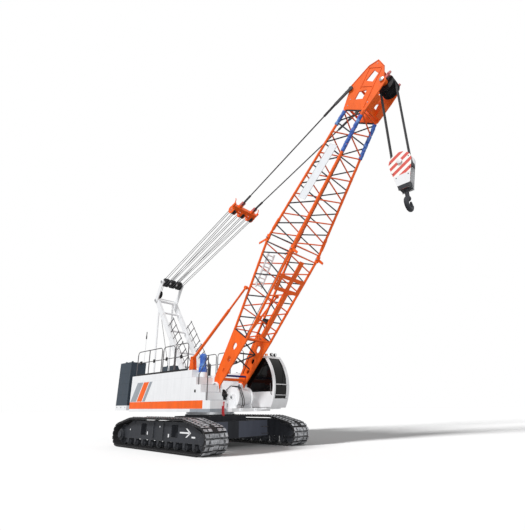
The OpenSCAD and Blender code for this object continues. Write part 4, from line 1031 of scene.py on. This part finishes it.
def boom_details():
    pins = Shape("boom")
    welds = Shape("boom")
    sleeves = Shape("boom")
    for upper, left in CORNERS:
        z = upper * JOINT_Z
        for side in SIDES:
            y = left * JOINT_Y + side * 0.075
            pins.cap((JOINT_S, y, z), side, 0.034, 0.02, 0.026, 0.026, 16)
            y += side * 0.012
            pins.tube([(JOINT_S, y, z - 0.05), (JOINT_S, y, z + 0.05)], 0.006, 6)
        for chord, s0, s1, bays in ((base_chord, 2.36, 6.01, 4), (top_chord, 6.39, 11.74, 6)):
            for k in range(2 * bays + 1):
                s = s0 + k * (s1 - s0) / bays / 2
                path = [chord(s + step, upper, left) for step in (-0.055, -0.04, 0.04, 0.055)]
                welds.tube(path, 0.0535, 20)
        sleeves.tube([top_chord(s, upper, left) for s in (6.58, 7.05)], 0.066, 18)
    pins.done("section_pins", "grey_metal")
    welds.done("chord_weld_collars", "orange_paint")
    ladder = Shape("boom")
    rails = (-0.58, -0.24)
    for y in rails:
        ladder.tube([(4.2, y, 0.44), (5.65, y, 0.55)], 0.036, 8)
        for s, z in ((4.35, 0.451), (5.5, 0.539)):
            ladder.tube([(s, y, z), (s, y, z + 0.085)], 0.012, 6)
    for k in range(9):
        s = 4.28 + 0.16 * k
        ladder.cross_tube(s, 0.44 + 0.0759 * (s - 4.2), *rails, 0.024, 8)
    ladder.done("inner_ladder", "white_paint")
    bar = Shape("boom")
    bar.cross_tube(0.47, 0, -FOOT_Y, FOOT_Y, 0.04, 16)
    bar.done("foot_cross_bar", "blue_cover", "navy")
    braces = Shape("boom")
    for s0, s1, z in ((2.2, 1.5, 0.1), (1.45, 0.85, 0.05)):
        for side in SIDES:
            braces.tube([(s0, side * FOOT_Y, z), (s1, -side * FOOT_Y, z - 0.06)], 0.028, 10)
    braces.cross_tube(1.475, 0.05, -FOOT_Y, FOOT_Y, 0.03, 10)
    braces.done("foot_braces", "steel_dark")
    sleeves.done("chord_sleeves", "orange_paint", bevel=0.004)
    roller = Shape("boom")
    roller.cross_tube(3.14, -0.36, -0.15, 0.15, 0.11, 20)
    roller.done("rope_roller", "black_plastic", bevel=0.006)
    holder = Shape("boom")
    for y in (-0.18, 0.16):
        holder.plate([(3.06, -0.52), (3.2, -0.53), (3.17, -0.33), (3.1, -0.33)], y, y + 0.02)
    holder.done("roller_bracket", "steel_dark", bevel=0.003)
    cable = Shape("boom")
    path = [base_chord(s, 1, 1) for s in (2.5, 3.5, 4.5, 5.5, 6.0)]
    path += [top_chord(s, 1, 1) for s in (6.4, 7.5, 8.5, 9.5, 10.5, 11.7)]
    cable.tube([(0.5, 0.62, 0.2)] + [(s, y - 0.02, z - 0.062) for s, y, z in path], 0.012, 8)
    cable.done("boom_cable", "black_plastic")
    rope = Shape("boom")
    rope.tube([(0.3, -0.12, 0.28), (3.0, -0.11, 0.2), (7.0, -0.09, 0.0), (11.9, -0.07, -0.5),
               (12.82, -0.056, -0.69)], 0.012, 8)
    rope.done("hoist_line", "rope")


def rope_turns(name, at, start):
    """Rope over half of a set of hoist sheaves."""
    turns = Shape("hook_block_set", still)
    for y in FALLS:
        turns.tube(arc(at, ROPE_TURN, start, start + 180, 26, y), ROPE_R, 8)
    turns.done(name, "rope")


def head_details():
    caps = Shape("boom")
    flange = Shape("boom")
    lug = Shape("boom")
    horn = Shape("boom")
    for side in SIDES:
        caps.cap((12.95, side * 0.522, -0.98), side, 0.085, 0.014, 0.02, 0.07, 20)
        for s, z in ((11.95, 0.05), (11.95, -0.72), (12.2, 0.05), (12.1, -0.8),
                     (13.35, -0.72), (13.6, -0.45)):
            caps.side_bolt(s, side * 0.482, z, side, 0.016)
        y = side * HEAD_Y
        horn.tube([(12.55, y, 0.3), (12.57, y, 0.42), (12.52, y, 0.5)], 0.018, 8)
    caps.done("head_pin_caps", "grey_metal")
    for outline in (
        [(12.70, 0.34), (13.53, -0.115), (13.52, -0.14), (12.69, 0.315)],
        [(13.53, -0.12), (13.745, -0.435), (13.72, -0.445), (13.51, -0.135)],
        [(13.74, -0.44), (13.5, -0.795), (13.48, -0.78), (13.715, -0.44)],
    ):
        flange.plate_pair(outline, 0.43, 0.5)
    for s0, s1, z0, z1 in ((12.64, 13.46, -0.2, -0.165), (11.9, 13.42, -0.745, -0.71),
                           (13.42, 13.455, -0.72, -0.18), (12.69, 12.73, -0.72, -0.18)):
        flange.plate_pair([(s0, z0), (s1, z0), (s1, z1), (s0, z1)], 0.48, 0.5)
    flange.done("head_edge_flanges", "orange_paint", bevel=0.003)
    lug.plate_pair([(13.1, -0.98), (13.26, -1.0), (13.34, -1.08),
                    (13.3, -1.14), (13.16, -1.1), (13.06, -1.04)], 0.36, 0.41)
    lug.cross_tube(13.22, -1.06, -HEAD_Y, HEAD_Y, 0.02, 10)
    lug.done("head_rope_lug", "red_paint", "pink", bevel=0.004)
    horn.done("pendant_keepers", "rail_grey")
    rope_turns("head_rope_turns", SHEAVE, 0)
    lamp = Shape("boom")
    lamp.lathe([(0, 0.03), (0.02, 0.05), (0.09, 0.055), (0.1, 0.045)], (13.5, 0.2, -0.5), (0.2, 0, 1), 16)
    lamp.done("head_lamp", "red_paint")


# Hook block
def block_details():
    rope_turns("block_rope_turns", BLOCK, 180)
    plates = Shape("hook_block_set")
    plates.plate_pair([(-0.283, -0.49), (0.283, -0.49), (0.21, -0.86), (-0.21, -0.86)], CHEEK_Y, CHEEK_SKIN)
    plates.done("block_blank_plates", "white_paint")
    feet = Shape("hook_block_set")
    feet.plate_pair([(-0.209, -0.863), (0.209, -0.863), (0.19, -0.96), (0.19, -1.015), (-0.19, -1.015),
                     (-0.19, -0.96)], CHEEK_Y, CHEEK_SKIN)
    feet.done("block_foot_plates", "steel_dark")
    caps = Shape("hook_block_set")
    bolts = Shape("hook_block_set")
    spacers = Shape("hook_block_set")
    for side in SIDES:
        caps.cap((0, side * 0.2, 0), side, 0.09, 0.014, 0.02, 0.075, 20)
        for x, y, z in ((0.28, CHEEK_Y, -0.35), (0.3, CHEEK_Y, 0.08),
                        (0.2, CHEEK_SKIN, -0.56), (0.14, CHEEK_SKIN, -0.97)):
            for end in SIDES:
                bolts.side_bolt(end * x, side * y, z, side, 0.014)
        x0, x1 = spread(side, 0.318, 0.35)
        spacers.box((x0, -0.13, -0.3), (x1, 0.13, -0.1))
    caps.done("block_pin_caps", "white_paint")
    bolts.done("block_bolts", "steel_dark")
    spacers.done("block_spacers", "steel_dark", bevel=0.006)


def tank_cover():
    """Blue sheeting tied round the tank, in folds."""
    low, high = (Vector(p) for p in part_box("covered_tank"))
    x, y = (low.x + high.x) / 2, (low.y + high.y) / 2
    stand_h, hem = 0.19, 0.1
    ties_at = (0.3, 0.72)
    stand = Shape()
    stand.lathe([(0.002, 0.158), (stand_h, 0.158), (0.2, 0.15)], (x, y, low.z), (0, 0, 1), 32)
    stand.done("tank_stand", "white_paint")
    low.z += stand_h
    tall = high.z - low.z

    def level(share):
        return low.z + 0.012 + (tall + 0.015) * share

    def girth(share):
        return 0.15 - 0.028 * share + 0.012 * math.sin(share * 9)

    rows, sides = 40, 48
    cover = Shape()
    rings = []
    for i in range(rows + 1):
        share = i / rows
        base = girth(share)
        for tie in ties_at:
            base -= 0.022 * math.exp(-((share - tie) / 0.03) ** 2)
        if share > 0.9:
            base *= 1 - 0.55 * ((share - 0.9) / 0.1) ** 2
        ring = []
        for k, (c, s) in enumerate(circle(sides)):
            turn = 2 * math.pi * k / sides
            fold = 0.010 * math.sin(7 * turn + 2.2 * math.sin(5 * share))
            fold += 0.007 * math.sin(13 * turn - 4 * share)
            rough = 0.012 * noise.noise(Vector((3 * c, 3 * s, 7 * share)))
            reach = base + fold * (1.25 - share) + rough
            ring.append(cover.point((x + reach * c, y + reach * s, level(share))))
        rings.append(ring)
    cover.rings(rings, open_foot=True)
    area = sum(f.calc_area() for f in cover.bm.faces)
    piece = cover.done("tank_cover", "blue_cover", angle=80)
    ties = Shape()
    for share in ties_at:
        reach = girth(share) - 0.012
        loop = [(x + reach * c, y + reach * s, level(share)) for c, s in circle(32)]
        ties.tube(loop, 0.007, 6, closed=True)
    ties.done("cover_ties", "rope")


# Floor and light
def white_to_camera(m, plain, white, output):
    """Mixes in the white shader for camera, mirror and see-through rays alone."""
    rays = m.add("ShaderNodeLightPath").outputs
    seen = rays["Is Camera Ray"]
    for name in ("Is Glossy Ray", "Is Transmission Ray"):
        seen = m.math("MAXIMUM", seen, rays[name])
    pick = m.add("ShaderNodeMixShader")
    for socket, source in zip(pick.inputs, (seen, plain.outputs[0], white.outputs[0])):
        m.put(source, socket)
    m.put(pick.outputs[0], m.tree.nodes[output].inputs["Surface"])


def make_floor():
    mesh = bpy.data.meshes.new("floor")
    half = 120
    corners = [(-half, -half, 0), (half, -half, 0), (half, half, 0), (-half, half, 0)]
    mesh.from_pydata(corners, [], [(0, 1, 2, 3)])
    floor = bpy.data.objects.new("floor", mesh)
    floor.location.z = -0.002
    scene.collection.objects.link(floor)
    m = Nodes("floor")
    m.give(Base_Color=(0.28, 0.28, 0.28, 1), Roughness=1.0, Specular_IOR_Level=0.0)
    glow = m.add("ShaderNodeEmission", Strength=0.02)
    plain = m.add("ShaderNodeBsdfDiffuse", Color=(0.71, 0.71, 0.71, 1))
    both = m.add("ShaderNodeAddShader")
    m.put(plain.outputs[0], both.inputs[0])
    m.put(glow.outputs[0], both.inputs[1])
    white_to_camera(m, m.shader, both, "Material Output")
    mesh.materials.append(m.made)
    return floor


def make_light(floor):
    """A low sun for the floor's long shadow, and two lamps for everything else."""
    floor_alone = bpy.data.collections.new("floor_alone")
    floor_alone.objects.link(floor)
    all_but_floor = bpy.data.collections.new("all_but_floor")
    all_but_floor.objects.link(floor)
    all_but_floor.collection_objects[0].light_linking.link_state = "EXCLUDE"
    m = Nodes("studio", bpy.data.worlds)
    scene.world = m.made
    back = m.tree.nodes["Background"]
    white = m.add("ShaderNodeBackground")
    for sky, strength in ((back, 0.42), (white, 1.0)):
        m.put(strength, sky.inputs["Strength"])
        m.put((1, 1, 1, 1), sky.inputs["Color"])
    white_to_camera(m, back, white, "World Output")
    # Name, strength, width in degrees, direction, whether it casts shadows, and what it lights
    for name, energy, angle, shine, shadow, lit in (
        ("key", 2.2, 8, (-0.08, 1.0, -1.0), True, all_but_floor),
        ("fill", 1.2, 30, (-0.8, 0.55, -0.15), False, all_but_floor),
        ("floor_sun", 13.0, 10, (0.24, 0.95, -0.24), True, floor_alone),
    ):
        lamp = bpy.data.lights.new(name, "SUN")
        lamp.energy = energy
        lamp.angle = math.radians(angle)
        lamp.use_shadow = shadow
        made = bpy.data.objects.new(name, lamp)
        made.rotation_euler = Vector(shine).to_track_quat("-Z", "Y").to_euler()
        scene.collection.objects.link(made)
        made.light_linking.receiver_collection = lit


make_camera()
make_light(make_floor())
dress_nodes()
track_details()
carbody_details()
house_details()
rail_details()
weight_details()
deck_details()
winch_details()
cab_details()
cab_seat()
gantry_details()
bridle_details()
chord_wraps()
blank_board()
boom_details()
head_details()
block_details()
tank_cover()
luffing_ropes()
scene.view_settings.view_transform = "Standard"
